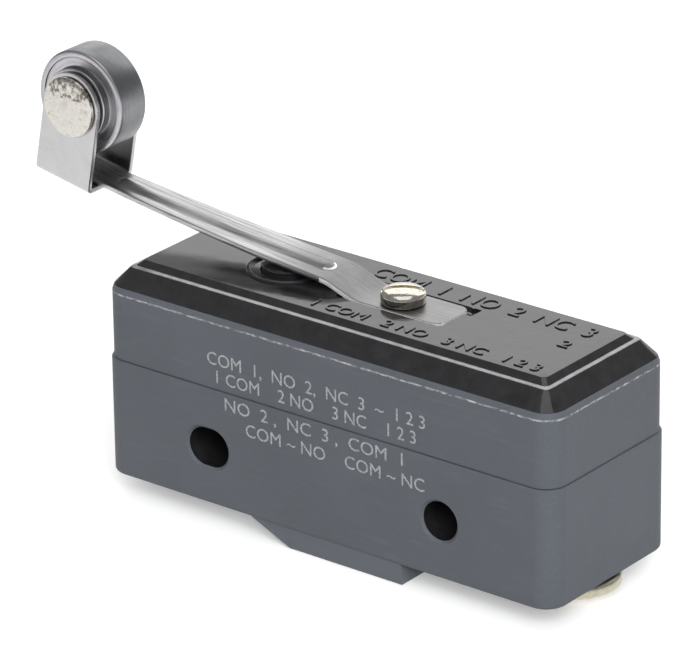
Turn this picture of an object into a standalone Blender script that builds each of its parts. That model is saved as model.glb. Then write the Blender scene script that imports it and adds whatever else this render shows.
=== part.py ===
"""Roller lever limit switch: a snap-action switch in a two-part moulded body, with a long
sprung lever and a roller, three screw terminals underneath and two mounting holes.

Frame: metres, +Z up. The origin is on the rear mounting face, midway between the two mounting
holes. +X runs along the body to the end with the normally closed terminal, the lever reaches out
to -X, and +Y points out of the rear face.
"""

import math

import bmesh
import bpy
from mathutils import Matrix, Vector

MM = 0.001

# ---------------------------------------------------------------- driving dimensions
BODY_LENGTH = 49.2 * MM
BODY_DEPTH = 17.45 * MM
SPLIT_HEIGHT = 11.14 * MM  # case and cover meet here, above the case's underside
BODY_HEIGHT = 20.1 * MM
CORNER_RADIUS = 2.1 * MM
FOOT_DROP = 2.05 * MM

HOLE_SPACING = 25.4 * MM
HOLE_HEIGHT = 5.35 * MM  # above the case's underside
HOLE_RADIUS = 1.8 * MM
SLOT_STRETCH = 0.8 * MM  # how much longer than round the left hole is
HOLE_CHAMFER = 0.25 * MM

SIT_GAP = 0.2 * MM  # between pieces that rest on or in each other
RUNNING_GAP = 0.1 * MM  # radial, around what turns or slides
OVERSHOOT = 1.0 * MM  # how far cutters reach past what they cut

TERMINAL_REACH = 20.9 * MM  # the end terminals, from the middle of the body
CENTRE_TERMINAL_X = 2.2 * MM

LEVER_THICKNESS = 0.5 * MM
LEVER_HALF_WIDTH = 2.3 * MM
LEVER_TIP_HALF_WIDTH = 1.65 * MM
BLADE_TRAVEL_DEG = 2.8
ROLLER_RADIUS = 4.78 * MM
ROLLER_WIDTH = 3.5 * MM
FORK_TILT_DEG = 10.5

ROUND_SEGMENTS = 24
SMALL_SEGMENTS = 16
ROLLER_SEGMENTS = 36

# ---------------------------------------------------------------- places
MID_Y = -BODY_DEPTH / 2


def up(height):
    """The z of a height above the case's underside."""
    return height - HOLE_HEIGHT


HALF_LENGTH = BODY_LENGTH / 2

COVER_STEP = 0.15 * MM  # the cover is this much smaller than the case on each side
WALL_TOP = 17.45 * MM
COVER_RINGS = (  # (inset from the cover's wall, height) up from the wall's top edge
    (0.0, WALL_TOP),
    (0.2 * MM, 18.0 * MM),
    (1.75 * MM, 19.55 * MM),
    (2.0 * MM, 19.58 * MM),
    (2.6 * MM, BODY_HEIGHT),
)
SMALLEST_CORNER = 0.5 * MM
CORNER_STEPS = 6
ROOF_UNDERSIDE = 17.3 * MM
CAVITY_HALF_LENGTH = 23.2 * MM
CAVITY_HALF_DEPTH = 7.0 * MM
CAVITY_FLOOR = 8.4 * MM
CAVITY_CORNER = 1.0 * MM

FOOT_SLOPE_TOP_X = -7.76 * MM
FOOT_LEFT_X = -4.0 * MM
FOOT_RIGHT_X = 8.45 * MM
FOOT_STEP = 0.05 * MM
FOOT_TAPER = 0.3 * MM

POCKET_LEFT_X = -3.2 * MM
POCKET_RIGHT_X = 8.3 * MM
POCKET_HALF_WIDTH = 2.5 * MM
POCKET_FLOOR = 19.4 * MM
NOTCH_RIGHT_X = 9.05 * MM  # a small notch at the pocket's rear right corner
NOTCH_FRONT = 0.9 * MM  # where it starts, behind the body's middle

PLUNGER_X = -10.35 * MM
PLUNGER_RADIUS = 2.3 * MM
PLUNGER_RIM = 20.62 * MM
PLUNGER_TOP = 21.2 * MM
PLUNGER_FLANGE_RADIUS = 3.05 * MM
PLUNGER_FLANGE_THICKNESS = 1.0 * MM
PLUNGER_TIP_RADIUS = 1.2 * MM
PLUNGER_FREE_TRAVEL = 0.5 * MM
RING_OUTER_RADIUS = 3.7 * MM
RING_INNER_RADIUS = 3.25 * MM
RING_RISE = 0.22 * MM

LEVER_SCREW_X = 2.4 * MM
SCREW_HEAD_RADIUS = 2.0 * MM
SCREW_HEAD_RISE = 1.4 * MM
SCREW_SHANK_RADIUS = 1.1 * MM
SCREW_END = 16.0 * MM
INSERT_RADIUS = 2.3 * MM
INSERT_BOTTOM = 15.7 * MM
INSERT_TOP = 18.9 * MM
BOSS_RADIUS = 3.8 * MM
BOSS_BOTTOM = 15.5 * MM

TAIL_END_X = 8.05 * MM
TAIL_HEIGHT = 19.85 * MM  # middle of the strip where it lies in the pocket
BEND_FOOT_X = -1.2 * MM
BEND_HEAD_X = -4.35 * MM
BEND_HEAD_HEIGHT = 21.05 * MM
FLEX_X = -2.2 * MM  # the strip flexes about this line
ARM_SLOPE = 0.080
ARM_CURVE = 0.0011 / MM
ARM_END_X = -34.8 * MM
TAPER_START_X = -12.0 * MM
TAPER_END_X = -31.2 * MM
SEAT_X = -30.4 * MM  # from here the strip lies along the roller bracket's web
BEAD_START_X = -5.3 * MM
BEAD_END_X = -29.6 * MM
BEAD_RAMP = 1.2 * MM
BEAD_HALF_WIDTH = 1.15 * MM
BEAD_CREST_HALF_WIDTH = 0.55 * MM
BEAD_RISE = 0.32 * MM
HINGE_SLIT = 0.15 * MM  # half the clearance between the strip's two rigid halves

PIN_X = -32.25 * MM
PIN_HEIGHT = 31.2 * MM
FORK_HALF_WIDTH = 3.05 * MM
EAR_THICKNESS = 0.45 * MM
EAR_RADIUS = 3.08 * MM
EAR_DROP = 7.65 * MM
PIN_RADIUS = 1.4 * MM
PIN_HEAD_RADIUS = 2.8 * MM
PIN_HEAD_RISE = 0.55 * MM
ROLLER_BORE = PIN_RADIUS + RUNNING_GAP
HUB_RADIUS = 3.3 * MM
HUB_RISE = 0.6 * MM

POST_RADIUS = 2.7 * MM
NECK_RADIUS = 2.1 * MM
PLATE_RADIUS = 3.0 * MM
PLATE_BOTTOM = 0.1 * MM
PLATE_THICKNESS = 0.9 * MM
STRAP_THICKNESS = 0.8 * MM
STRAP_WIDTH = 4.0 * MM
TAPPING_RADIUS = 1.6 * MM
TAPPING_TOP = 6.6 * MM
TAPPING_COVER = 1.0 * MM  # solid brass above each tapped hole

BLADE_THICKNESS = 0.4 * MM
BLADE_HEIGHT = 13.4 * MM
BLADE_END_X = 19.2 * MM
BLADE_HALF_WIDTH = 4.2 * MM
CONTACT_X = 17.0 * MM
CONTACT_RADIUS = 1.8 * MM
CONTACT_THICKNESS = 0.9 * MM
CONTACT_GAP = 0.15 * MM
CONTACT_SHANK_RADIUS = 0.8 * MM
BLADE_ARM = TERMINAL_REACH + CONTACT_X
CONTACT_STROKE = BLADE_ARM * math.sin(math.radians(BLADE_TRAVEL_DEG))

WASHER_RADIUS = 3.9 * MM
WASHER_TOP = -0.1 * MM
WASHER_THICKNESS = 0.55 * MM
WASHER_LIP = 0.45 * MM
TERMINAL_HEAD_RADIUS = 3.1 * MM
TERMINAL_SCREW_BOTTOM = -1.95 * MM
TERMINAL_SCREW_TOP = 5.9 * MM
TERMINAL_SHANK_RADIUS = 1.4 * MM

# ---------------------------------------------------------------- scene and materials


def clear_scene():
    for old in list(bpy.data.objects):
        bpy.data.objects.remove(old, do_unlink=True)


def new_group(name):
    group = bpy.data.collections.new(name)
    bpy.context.scene.collection.children.link(group)
    return group


def material(name, colour, roughness, metallic):
    surface = bpy.data.materials.new(name)
    surface.use_nodes = True
    shader = surface.node_tree.nodes["Principled BSDF"]
    shader.inputs["Base Color"].default_value = (*colour, 1.0)
    shader.inputs["Roughness"].default_value = roughness
    shader.inputs["Metallic"].default_value = metallic
    return surface


def finish(obj, surface):
    """Gives a part its material and smooth shading with sharp edges."""
    obj.data.materials.clear()
    obj.data.materials.append(surface)
    obj.data.shade_smooth()
    obj.data.set_sharp_from_angle(angle=math.radians(30))
    return obj


# ---------------------------------------------------------------- shape helpers


def mesh_object(name, shape, group):
    """Turns a bmesh into an object with its faces pointing out."""
    bmesh.ops.recalc_face_normals(shape, faces=shape.faces)
    mesh = bpy.data.meshes.new(name)
    shape.to_mesh(mesh)
    shape.free()
    obj = bpy.data.objects.new(name, mesh)
    group.objects.link(obj)
    return obj


def box_mesh(low, high):
    shape = bmesh.new()
    size = Vector(high) - Vector(low)
    middle = (Vector(high) + Vector(low)) / 2
    placed = Matrix.Translation(middle) @ Matrix.Diagonal((*size, 1.0))
    bmesh.ops.create_cube(shape, size=1.0, matrix=placed)
    return shape


def round_corners(shape, radius, segments):
    """Rounds the edges that run along Z."""
    upright = [e for e in shape.edges if abs(e.verts[0].co.z - e.verts[1].co.z) > radius]
    bmesh.ops.bevel(
        shape, geom=upright, offset=radius, segments=segments, profile=0.5, affect="EDGES"
    )


def box(name, low, high, group, radius=0.0, segments=4):
    shape = box_mesh(low, high)
    if radius:
        round_corners(shape, radius, segments)
    return mesh_object(name, shape, group)


def rounded_ring(shape, half_x, half_y, radius, height):
    """Adds a rounded rectangle's outline to a mesh and returns its edges."""
    outline = []
    for corner, (sign_x, sign_y) in enumerate(((1, 1), (-1, 1), (-1, -1), (1, -1))):
        centre = (sign_x * (half_x - radius), sign_y * (half_y - radius))
        start = 90 * corner
        outline += arc(centre, radius, start, start + 90, CORNER_STEPS)
    points = [shape.verts.new((x, y, height)) for x, y in outline]
    return [shape.edges.new((first, points[i - 1])) for i, first in enumerate(points)]


def lofted_block(name, sections, group, place):
    """A block through rounded rectangles of (half_x, half_y, radius, height), listed upwards."""
    shape = bmesh.new()
    rings = [rounded_ring(shape, *section) for section in sections]
    for below, above in zip(rings, rings[1:]):
        bmesh.ops.bridge_loops(shape, edges=below + above)
    for end in (rings[0], rings[-1]):
        bmesh.ops.contextual_create(shape, geom=end)
    block = mesh_object(name, shape, group)
    block.location = place
    return block


def rod(name, centre, radius, length, group, axis="Z", segments=ROUND_SEGMENTS):
    """A cylinder centred on a point, along one of the axes."""
    turn = {
        "X": Matrix.Rotation(math.pi / 2, 4, "Y"),
        "Y": Matrix.Rotation(math.pi / 2, 4, "X"),
        "Z": Matrix.Identity(4),
    }[axis]
    shape = bmesh.new()
    bmesh.ops.create_cone(
        shape,
        cap_ends=True,
        segments=segments,
        radius1=radius,
        radius2=radius,
        depth=length,
        matrix=Matrix.Translation(centre) @ turn,
    )
    return mesh_object(name, shape, group)


def upright_rod(name, x, low, high, radius, group, segments=ROUND_SEGMENTS):
    """A cylinder on the body's middle plane, between two heights."""
    centre = (x, MID_Y, up((low + high) / 2))
    return rod(name, centre, radius, high - low, group, segments=segments)


def turned(name, profile, group, place, axis="Z", segments=ROUND_SEGMENTS):
    """Turns an (radius, height) profile, listed from the top down its outer side."""
    shape = bmesh.new()
    points = [shape.verts.new((radius, 0.0, height)) for radius, height in profile]
    for first, second in zip(points, points[1:]):
        shape.edges.new((first, second))
    mesh = bpy.data.meshes.new(name)
    shape.to_mesh(mesh)
    shape.free()
    obj = bpy.data.objects.new(name, mesh)
    group.objects.link(obj)
    screw = obj.modifiers.new("turn", "SCREW")
    screw.steps = segments
    screw.render_steps = segments
    screw.use_merge_vertices = True
    screw.merge_threshold = 0.00001
    obj.location = place
    if axis == "Y":
        obj.rotation_euler = (-math.pi / 2, 0.0, 0.0)
    return freeze(obj)


def turned_ring(name, profile, group, place, axis="Z", segments=ROUND_SEGMENTS):
    """Turns a closed profile, listed from its top inner corner down its outer side and back."""
    return turned(name, [*profile, profile[0]], group, place, axis, segments)


def freeze(obj):
    """Replaces an object's mesh by its modified one, in world space, and keeps its origin."""
    bpy.context.view_layer.update()
    seen = obj.evaluated_get(bpy.context.evaluated_depsgraph_get())
    mesh = bpy.data.meshes.new_from_object(seen)
    turn = obj.matrix_world.to_3x3().to_4x4()
    mesh.transform(turn)
    shape = bmesh.new()
    shape.from_mesh(mesh)
    bmesh.ops.remove_doubles(shape, verts=shape.verts, dist=0.000002)
    shape.to_mesh(mesh)
    shape.free()
    obj.modifiers.clear()
    obj.rotation_euler = (0.0, 0.0, 0.0)
    obj.data = mesh
    return obj


def plate(name, outline, thickness, group, place, tilt=0.0):
    """A flat outline in the XZ plane, filled and given a thickness along Y, about a point."""
    curve = bpy.data.curves.new(name + "_outline", "CURVE")
    curve.dimensions = "2D"
    curve.fill_mode = "BOTH"
    curve.extrude = thickness / 2
    line = curve.splines.new("POLY")
    line.points.add(len(outline) - 1)
    for point, (across, high) in zip(line.points, outline):
        point.co = (across, high, 0.0, 1.0)
    line.use_cyclic_u = True
    drawn = bpy.data.objects.new(name + "_outline", curve)
    group.objects.link(drawn)
    bpy.context.view_layer.update()
    seen = drawn.evaluated_get(bpy.context.evaluated_depsgraph_get())
    mesh = bpy.data.meshes.new_from_object(seen)
    bpy.data.objects.remove(drawn, do_unlink=True)
    stand = Matrix.Rotation(tilt, 4, "Y") @ Matrix.Rotation(math.pi / 2, 4, "X")
    shape = bmesh.new()
    shape.from_mesh(mesh)
    bmesh.ops.remove_doubles(shape, verts=shape.verts, dist=0.000002)
    bmesh.ops.transform(shape, matrix=stand, verts=shape.verts)
    obj = mesh_object(name, shape, group)
    obj.location = place
    return obj


def arc(centre, radius, start_deg, end_deg, steps):
    """Points along an arc in an (across, high) plane."""
    points = []
    for step in range(steps + 1):
        angle = math.radians(start_deg + (end_deg - start_deg) * step / steps)
        across = centre[0] + radius * math.cos(angle)
        high = centre[1] + radius * math.sin(angle)
        points.append((across, high))
    return points


def combine(obj, tool, operation):
    """Cuts a tool out of an object, or joins it on, with an exact Boolean."""
    step = obj.modifiers.new(tool.name, "BOOLEAN")
    step.operation = operation
    step.solver = "EXACT"
    step.object = tool
    tool.hide_render = True
    tool.display_type = "WIRE"


def cut(obj, *tools):
    for tool in tools:
        combine(obj, tool, "DIFFERENCE")


def join(obj, *tools):
    for tool in tools:
        combine(obj, tool, "UNION")


def axis_empty(name, place, group, parent=None):
    """An empty on a joint's axis; what moves with the joint hangs from it."""
    empty = bpy.data.objects.new(name, None)
    empty.empty_display_size = 2 * MM
    group.objects.link(empty)
    empty.location = place
    if parent:
        hang(empty, parent)
    return empty


def hang(child, parent):
    """Parents an object without moving it."""
    bpy.context.view_layer.update()
    child.parent = parent
    child.matrix_parent_inverse = parent.matrix_world.inverted()


# ---------------------------------------------------------------- case and cover


def mounting_hole(name, x, stretch, group):
    """A round or slotted cutter through the body, with a small chamfer at both mouths."""
    half = BODY_DEPTH / 2
    chamfer = HOLE_CHAMFER
    side = [
        (0.0, half + chamfer),
        (HOLE_RADIUS + 2 * chamfer, half + chamfer),
        (HOLE_RADIUS, half - chamfer),
    ]
    profile = side + [(radius, -along) for radius, along in reversed(side)]
    hole = turned(name, profile, group, (x, MID_Y, 0.0), "Y")
    for vert in hole.data.vertices:
        if abs(vert.co.x) > HOLE_CHAMFER / 2:
            vert.co.x += math.copysign(stretch / 2, vert.co.x)
    return hole


def build_case(parts, cutters, surface):
    low = (-HALF_LENGTH, -BODY_DEPTH, up(0.0))
    high = (HALF_LENGTH, 0.0, up(SPLIT_HEIGHT - SIT_GAP / 2))
    case = box("case", low, high, parts, CORNER_RADIUS, 6)

    overlap = OVERSHOOT
    outline = (
        (FOOT_SLOPE_TOP_X - overlap, overlap),
        (FOOT_SLOPE_TOP_X, 0.0),
        (FOOT_LEFT_X, -FOOT_DROP),
        (FOOT_RIGHT_X, -FOOT_DROP),
        (FOOT_RIGHT_X, overlap),
    )
    foot_depth = BODY_DEPTH - 2 * FOOT_STEP
    foot = plate("foot_block", outline, foot_depth, cutters, (0.0, MID_Y, up(0.0)))
    narrow = 1.0 - 2 * FOOT_TAPER / foot_depth
    for vert in foot.data.vertices:
        if vert.co.z < -FOOT_DROP / 2:
            vert.co.y *= narrow
    join(case, foot)

    cavity_low = (-CAVITY_HALF_LENGTH, MID_Y - CAVITY_HALF_DEPTH, up(CAVITY_FLOOR))
    cavity_high = (CAVITY_HALF_LENGTH, MID_Y + CAVITY_HALF_DEPTH, up(SPLIT_HEIGHT + OVERSHOOT))
    cut(case, box("case_cavity", cavity_low, cavity_high, cutters, CAVITY_CORNER, 2))
    for name, x in (
        ("com", -TERMINAL_REACH),
        ("no", CENTRE_TERMINAL_X),
        ("nc", TERMINAL_REACH),
    ):
        bottom = -FOOT_DROP - OVERSHOOT
        shaft_radius = POST_RADIUS + SIT_GAP
        seat_radius = PLATE_RADIUS + SIT_GAP
        seat_top = PLATE_BOTTOM + PLATE_THICKNESS + SIT_GAP
        top = CAVITY_FLOOR + OVERSHOOT
        shaft = upright_rod(f"{name}_shaft", x, bottom, top, shaft_radius, cutters, SMALL_SEGMENTS)
        seat = upright_rod(f"{name}_seat", x, bottom, seat_top, seat_radius, cutters)
        cut(case, shaft, seat)
    recess_radius = WASHER_RADIUS + 0.3 * MM
    recess = upright_rod(
        "foot_recess", CENTRE_TERMINAL_X, -FOOT_DROP - OVERSHOOT, 0.0, recess_radius, cutters
    )
    cut(case, recess)
    cut(case, mounting_hole("right_hole", HOLE_SPACING / 2, 0.0, cutters))
    cut(case, mounting_hole("left_hole", -HOLE_SPACING / 2, SLOT_STRETCH, cutters))
    return finish(freeze(case), surface)


def build_cover(parts, cutters, surface):
    sections = []
    for inset, height in ((0.0, SPLIT_HEIGHT + SIT_GAP / 2), *COVER_RINGS):
        half_x = HALF_LENGTH - COVER_STEP - inset
        half_y = BODY_DEPTH / 2 - COVER_STEP - inset
        radius = max(CORNER_RADIUS - inset, SMALLEST_CORNER)
        sections.append((half_x, half_y, radius, height))
    cover = lofted_block("cover", sections, parts, (0.0, MID_Y, up(0.0)))

    ring_top = BODY_HEIGHT + RING_RISE
    ring = upright_rod(
        "ring_rim", PLUNGER_X, BODY_HEIGHT - OVERSHOOT, ring_top, RING_OUTER_RADIUS, cutters
    )
    ring_hollow = upright_rod(
        "ring_hollow", PLUNGER_X, BODY_HEIGHT - 0.05 * MM, ring_top + OVERSHOOT,
        RING_INNER_RADIUS, cutters,
    )
    join(cover, ring)

    cavity_low = (-CAVITY_HALF_LENGTH, MID_Y - CAVITY_HALF_DEPTH, up(SPLIT_HEIGHT - OVERSHOOT))
    cavity_high = (CAVITY_HALF_LENGTH, MID_Y + CAVITY_HALF_DEPTH, up(ROOF_UNDERSIDE))
    cavity = box("cover_cavity", cavity_low, cavity_high, cutters, CAVITY_CORNER, 2)
    boss = upright_rod(
        "screw_boss", LEVER_SCREW_X, BOSS_BOTTOM, ROOF_UNDERSIDE + OVERSHOOT, BOSS_RADIUS, cutters
    )
    pocket_low = (POCKET_LEFT_X, MID_Y - POCKET_HALF_WIDTH, up(POCKET_FLOOR))
    pocket_high = (POCKET_RIGHT_X, MID_Y + POCKET_HALF_WIDTH, up(BODY_HEIGHT + OVERSHOOT))
    pocket = box("lever_pocket", pocket_low, pocket_high, cutters, 0.5 * MM, 2)
    notch_low = (POCKET_RIGHT_X - OVERSHOOT, MID_Y + NOTCH_FRONT, up(POCKET_FLOOR))
    notch_high = (NOTCH_RIGHT_X, MID_Y + POCKET_HALF_WIDTH, up(BODY_HEIGHT + OVERSHOOT))
    notch = box("pocket_notch", notch_low, notch_high, cutters)
    insert_bore = upright_rod(
        "insert_bore", LEVER_SCREW_X, BOSS_BOTTOM - OVERSHOOT, INSERT_TOP + SIT_GAP,
        INSERT_RADIUS + SIT_GAP, cutters, SMALL_SEGMENTS,
    )
    screw_hole = upright_rod(
        "screw_hole", LEVER_SCREW_X, INSERT_TOP - OVERSHOOT, BODY_HEIGHT,
        SCREW_SHANK_RADIUS + SIT_GAP, cutters, SMALL_SEGMENTS,
    )
    plunger_hole = upright_rod(
        "plunger_hole", PLUNGER_X, ROOF_UNDERSIDE - OVERSHOOT, BODY_HEIGHT + OVERSHOOT,
        PLUNGER_RADIUS + RUNNING_GAP, cutters,
    )
    cut(cover, ring_hollow, cavity)
    join(cover, boss)
    cut(cover, pocket, notch, insert_bore, screw_hole, plunger_hole)
    return finish(freeze(cover), surface)


# ---------------------------------------------------------------- plunger


def build_plunger(parts, surface):
    """Profile heights are taken from the rim of the plunger's dome."""
    flange_top = ROOF_UNDERSIDE - SIT_GAP - PLUNGER_RIM
    flange_bottom = flange_top - PLUNGER_FLANGE_THICKNESS
    tip = BLADE_HEIGHT + BLADE_THICKNESS / 2 + PLUNGER_FREE_TRAVEL - PLUNGER_RIM
    dome_rise = PLUNGER_TOP - PLUNGER_RIM
    steps = 5
    dome = []
    for step in range(steps + 1):
        angle = math.pi / 2 * (1 - step / steps)
        dome.append((PLUNGER_RADIUS * math.cos(angle), dome_rise * math.sin(angle)))
    dome[0] = (0.0, dome_rise)
    profile = [
        *dome,
        (PLUNGER_RADIUS, flange_top),
        (PLUNGER_FLANGE_RADIUS, flange_top),
        (PLUNGER_FLANGE_RADIUS, flange_bottom),
        (PLUNGER_TIP_RADIUS, flange_bottom),
        (PLUNGER_TIP_RADIUS, tip + 0.4 * MM),
        (PLUNGER_TIP_RADIUS / 2, tip),
        (0.0, tip),
    ]
    place = (PLUNGER_X, MID_Y, up(PLUNGER_RIM))
    return finish(turned("plunger", profile, parts, place), surface)


# ---------------------------------------------------------------- lever


def strip_height(x):
    """The height of the middle of the lever's strip at x."""
    if x >= BEND_FOOT_X:
        return TAIL_HEIGHT
    if x >= BEND_HEAD_X:
        share = (BEND_FOOT_X - x) / (BEND_FOOT_X - BEND_HEAD_X)
        return TAIL_HEIGHT + share * (BEND_HEAD_HEIGHT - TAIL_HEIGHT)
    run = BEND_HEAD_X - max(x, SEAT_X)
    seat_rise = max(SEAT_X - x, 0.0) * math.tan(math.radians(FORK_TILT_DEG))
    return BEND_HEAD_HEIGHT + ARM_SLOPE * run + ARM_CURVE * run * run + seat_rise


def strip_half_width(x):
    if x > TAPER_START_X:
        return LEVER_HALF_WIDTH
    share = min((TAPER_START_X - x) / (TAPER_START_X - TAPER_END_X), 1.0)
    return LEVER_HALF_WIDTH + share * (LEVER_TIP_HALF_WIDTH - LEVER_HALF_WIDTH)


def bead_share(x):
    """How much of the stiffening bead's full rise stands at x, from 0 to 1."""
    inside = min(BEAD_START_X - x, x - BEAD_END_X)
    return min(max(inside / BEAD_RAMP, 0.0), 1.0)


def lever_strip(name, stations, group):
    """A strip along the given x stations, with the pressed bead along its middle."""
    columns = 6
    rows = len(stations) - 1
    shape = bmesh.new()
    bmesh.ops.create_grid(shape, x_segments=rows, y_segments=columns, size=1.0)
    across = {
        0: -1.0, 1: -BEAD_HALF_WIDTH, 2: -BEAD_CREST_HALF_WIDTH, 3: 0.0,
        4: BEAD_CREST_HALF_WIDTH, 5: BEAD_HALF_WIDTH, 6: 1.0,
    }
    for vert in shape.verts:
        row = round((vert.co.x + 1) / 2 * rows)
        column = round((vert.co.y + 1) / 2 * columns)
        x = stations[row]
        side = across[column]
        if column in (0, columns):
            side *= strip_half_width(x)
        crest = BEAD_RISE * bead_share(x) if 2 <= column <= 4 else 0.0
        vert.co = (x, MID_Y + side, up(strip_height(x) + crest))
    strip = mesh_object(name, shape, group)
    if strip.data.polygons[0].normal.z < 0:
        strip.data.flip_normals()
    skin = strip.modifiers.new("thickness", "SOLIDIFY")
    skin.thickness = LEVER_THICKNESS
    skin.offset = 0.0
    return freeze(strip)


def build_lever_tail(parts, cutters, surface):
    """The lever's clamped end, up to its flexing line."""
    stations = (FLEX_X + HINGE_SLIT, BEND_FOOT_X, LEVER_SCREW_X, TAIL_END_X)
    tail = lever_strip("lever_tail", stations, parts)
    hole_low = TAIL_HEIGHT - OVERSHOOT
    hole_high = TAIL_HEIGHT + OVERSHOOT
    hole_radius = SCREW_SHANK_RADIUS + SIT_GAP
    cut(tail, upright_rod("tail_hole", LEVER_SCREW_X, hole_low, hole_high, hole_radius, cutters))
    return finish(freeze(tail), surface)


def build_lever_arm(parts, surface):
    """The lever's moving arm, its far end lying along the roller bracket's web."""
    bead_start = BEAD_START_X - BEAD_RAMP
    bead_end = BEAD_END_X + BEAD_RAMP
    spans = 7
    along_bead = [bead_start + (bead_end - bead_start) * step / spans for step in range(spans + 1)]
    ends = (FLEX_X - HINGE_SLIT, BEND_HEAD_X, BEAD_START_X, BEAD_END_X, SEAT_X, ARM_END_X)
    arm = lever_strip("lever_arm", sorted([*ends, *along_bead]), parts)
    return finish(arm, surface)


def build_roller_bracket(parts, cutters, surface):
    """The U-shaped bracket under the strip's end, its two ears holding the roller's pin."""
    tilt = math.radians(FORK_TILT_DEG)
    pin_place = Vector((PIN_X, MID_Y, up(PIN_HEIGHT)))
    web_outline = (
        (-EAR_RADIUS, -EAR_DROP),
        (EAR_RADIUS, -EAR_DROP),
        (EAR_RADIUS, -EAR_DROP + EAR_THICKNESS),
        (-EAR_RADIUS, -EAR_DROP + EAR_THICKNESS),
    )
    web_width = 2 * FORK_HALF_WIDTH - EAR_THICKNESS
    bracket = plate("roller_bracket", web_outline, web_width, parts, pin_place, tilt)
    inset = 0.02 * MM  # keeps the ears' edges off the web's, for a clean join
    drop = -EAR_DROP + inset
    reach = EAR_RADIUS - inset
    ear_outline = [(-reach, drop), (reach, drop), *arc((0.0, 0.0), reach, 0, 180, 12)]
    for side, sign in (("front", -1), ("rear", 1)):
        shift = Vector((0.0, sign * (FORK_HALF_WIDTH - EAR_THICKNESS / 2), 0.0))
        ear = plate(f"{side}_ear", ear_outline, EAR_THICKNESS, cutters, pin_place + shift, tilt)
        join(bracket, ear)
    length = 2 * FORK_HALF_WIDTH + 2 * OVERSHOOT
    pin_hole = rod("pin_hole", pin_place, PIN_RADIUS + RUNNING_GAP, length, cutters, "Y")
    cut(bracket, pin_hole)
    return finish(freeze(bracket), surface)


def build_lever_screw(parts, cutters, surface):
    """A domed, slotted head on a plain shank; profile heights are taken from the head's seat."""
    seat = TAIL_HEIGHT + LEVER_THICKNESS / 2 + 0.05 * MM
    steps = 5
    rim = 0.35 * MM
    dome = [(0.0, SCREW_HEAD_RISE)]
    for step in range(1, steps + 1):
        angle = math.pi / 2 * (1 - step / steps)
        rise = rim + (SCREW_HEAD_RISE - rim) * math.sin(angle)
        dome.append((SCREW_HEAD_RADIUS * math.cos(angle), rise))
    profile = [
        *dome,
        (SCREW_HEAD_RADIUS, 0.0),
        (SCREW_SHANK_RADIUS, 0.0),
        (SCREW_SHANK_RADIUS, SCREW_END - seat),
        (0.0, SCREW_END - seat),
    ]
    place = Vector((LEVER_SCREW_X, MID_Y, up(seat)))
    screw = turned("lever_screw", profile, parts, place)
    half_slot = Vector((SCREW_HEAD_RADIUS + OVERSHOOT, 0.3 * MM, 0.3 * MM))
    centre = place + Vector((0.0, 0.0, SCREW_HEAD_RISE))
    slot = box("lever_screw_slot", centre - half_slot, centre + half_slot, cutters)
    cut(screw, slot)
    return finish(freeze(screw), surface)


def build_insert(parts, surface):
    """The threaded insert in the cover's boss, which the lever screw is driven into."""
    bore = SCREW_SHANK_RADIUS + RUNNING_GAP
    height = INSERT_TOP - INSERT_BOTTOM
    profile = ((bore, height), (INSERT_RADIUS, height), (INSERT_RADIUS, 0.0), (bore, 0.0))
    place = (LEVER_SCREW_X, MID_Y, up(INSERT_BOTTOM))
    ring = turned_ring("lever_screw_insert", profile, parts, place, segments=SMALL_SEGMENTS)
    return finish(ring, surface)


def build_roller(parts, surface):
    """A wide rim between two raised hubs; profile runs along the axle, from one end."""
    half = ROLLER_WIDTH / 2
    hub = half + HUB_RISE
    edge = 0.25 * MM
    dish_radius = 4.15 * MM
    dish = 0.2 * MM
    side = [
        (ROLLER_BORE, hub),
        (HUB_RADIUS, hub),
        (HUB_RADIUS, half - dish),
        (dish_radius, half - dish),
        (dish_radius, half),
        (ROLLER_RADIUS - edge, half),
        (ROLLER_RADIUS, half - edge),
    ]
    profile = side + [(radius, -along) for radius, along in reversed(side)]
    place = (PIN_X, MID_Y, up(PIN_HEIGHT))
    roller = turned_ring("roller", profile, parts, place, "Y", ROLLER_SEGMENTS)
    return finish(roller, surface)


def build_roller_pin(parts, surface):
    """A rivet through both ears, with a domed head outside each."""
    inner = FORK_HALF_WIDTH + 0.1 * MM
    steps = 4
    side = [(0.0, inner + PIN_HEAD_RISE)]
    for step in range(1, steps + 1):
        angle = math.pi / 2 * (1 - step / steps)
        rise = inner + 0.15 * MM + (PIN_HEAD_RISE - 0.15 * MM) * math.sin(angle)
        side.append((PIN_HEAD_RADIUS * math.cos(angle), rise))
    side.append((PIN_HEAD_RADIUS, inner))
    side.append((PIN_RADIUS, inner))
    profile = side + [(radius, -along) for radius, along in reversed(side)]
    place = (PIN_X, MID_Y, up(PIN_HEIGHT))
    return finish(turned("roller_pin", profile, parts, place, "Y"), surface)


# ---------------------------------------------------------------- contacts and terminals


def strap(name, low_x, high_x, low, high, group, width=STRAP_WIDTH):
    """A flat bar on the body's middle plane, between two x places and two heights."""
    corner_low = (low_x, MID_Y - width / 2, up(low))
    corner_high = (high_x, MID_Y + width / 2, up(high))
    return box(name, corner_low, corner_high, group)


def terminal_base(name, x, top, group, cutters):
    """A terminal's plate and round post, tapped from below for its screw."""
    plate_top = PLATE_BOTTOM + PLATE_THICKNESS
    terminal = upright_rod(name, x, PLATE_BOTTOM, plate_top, PLATE_RADIUS, group)
    low = PLATE_BOTTOM + PLATE_THICKNESS / 2
    post = upright_rod(f"{name}_post", x, low, top, POST_RADIUS, cutters, SMALL_SEGMENTS)
    tapping = upright_rod(
        f"{name}_tapping", x, -OVERSHOOT, TAPPING_TOP, TAPPING_RADIUS, cutters, SMALL_SEGMENTS
    )
    join(terminal, post)
    return terminal, tapping


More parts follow.
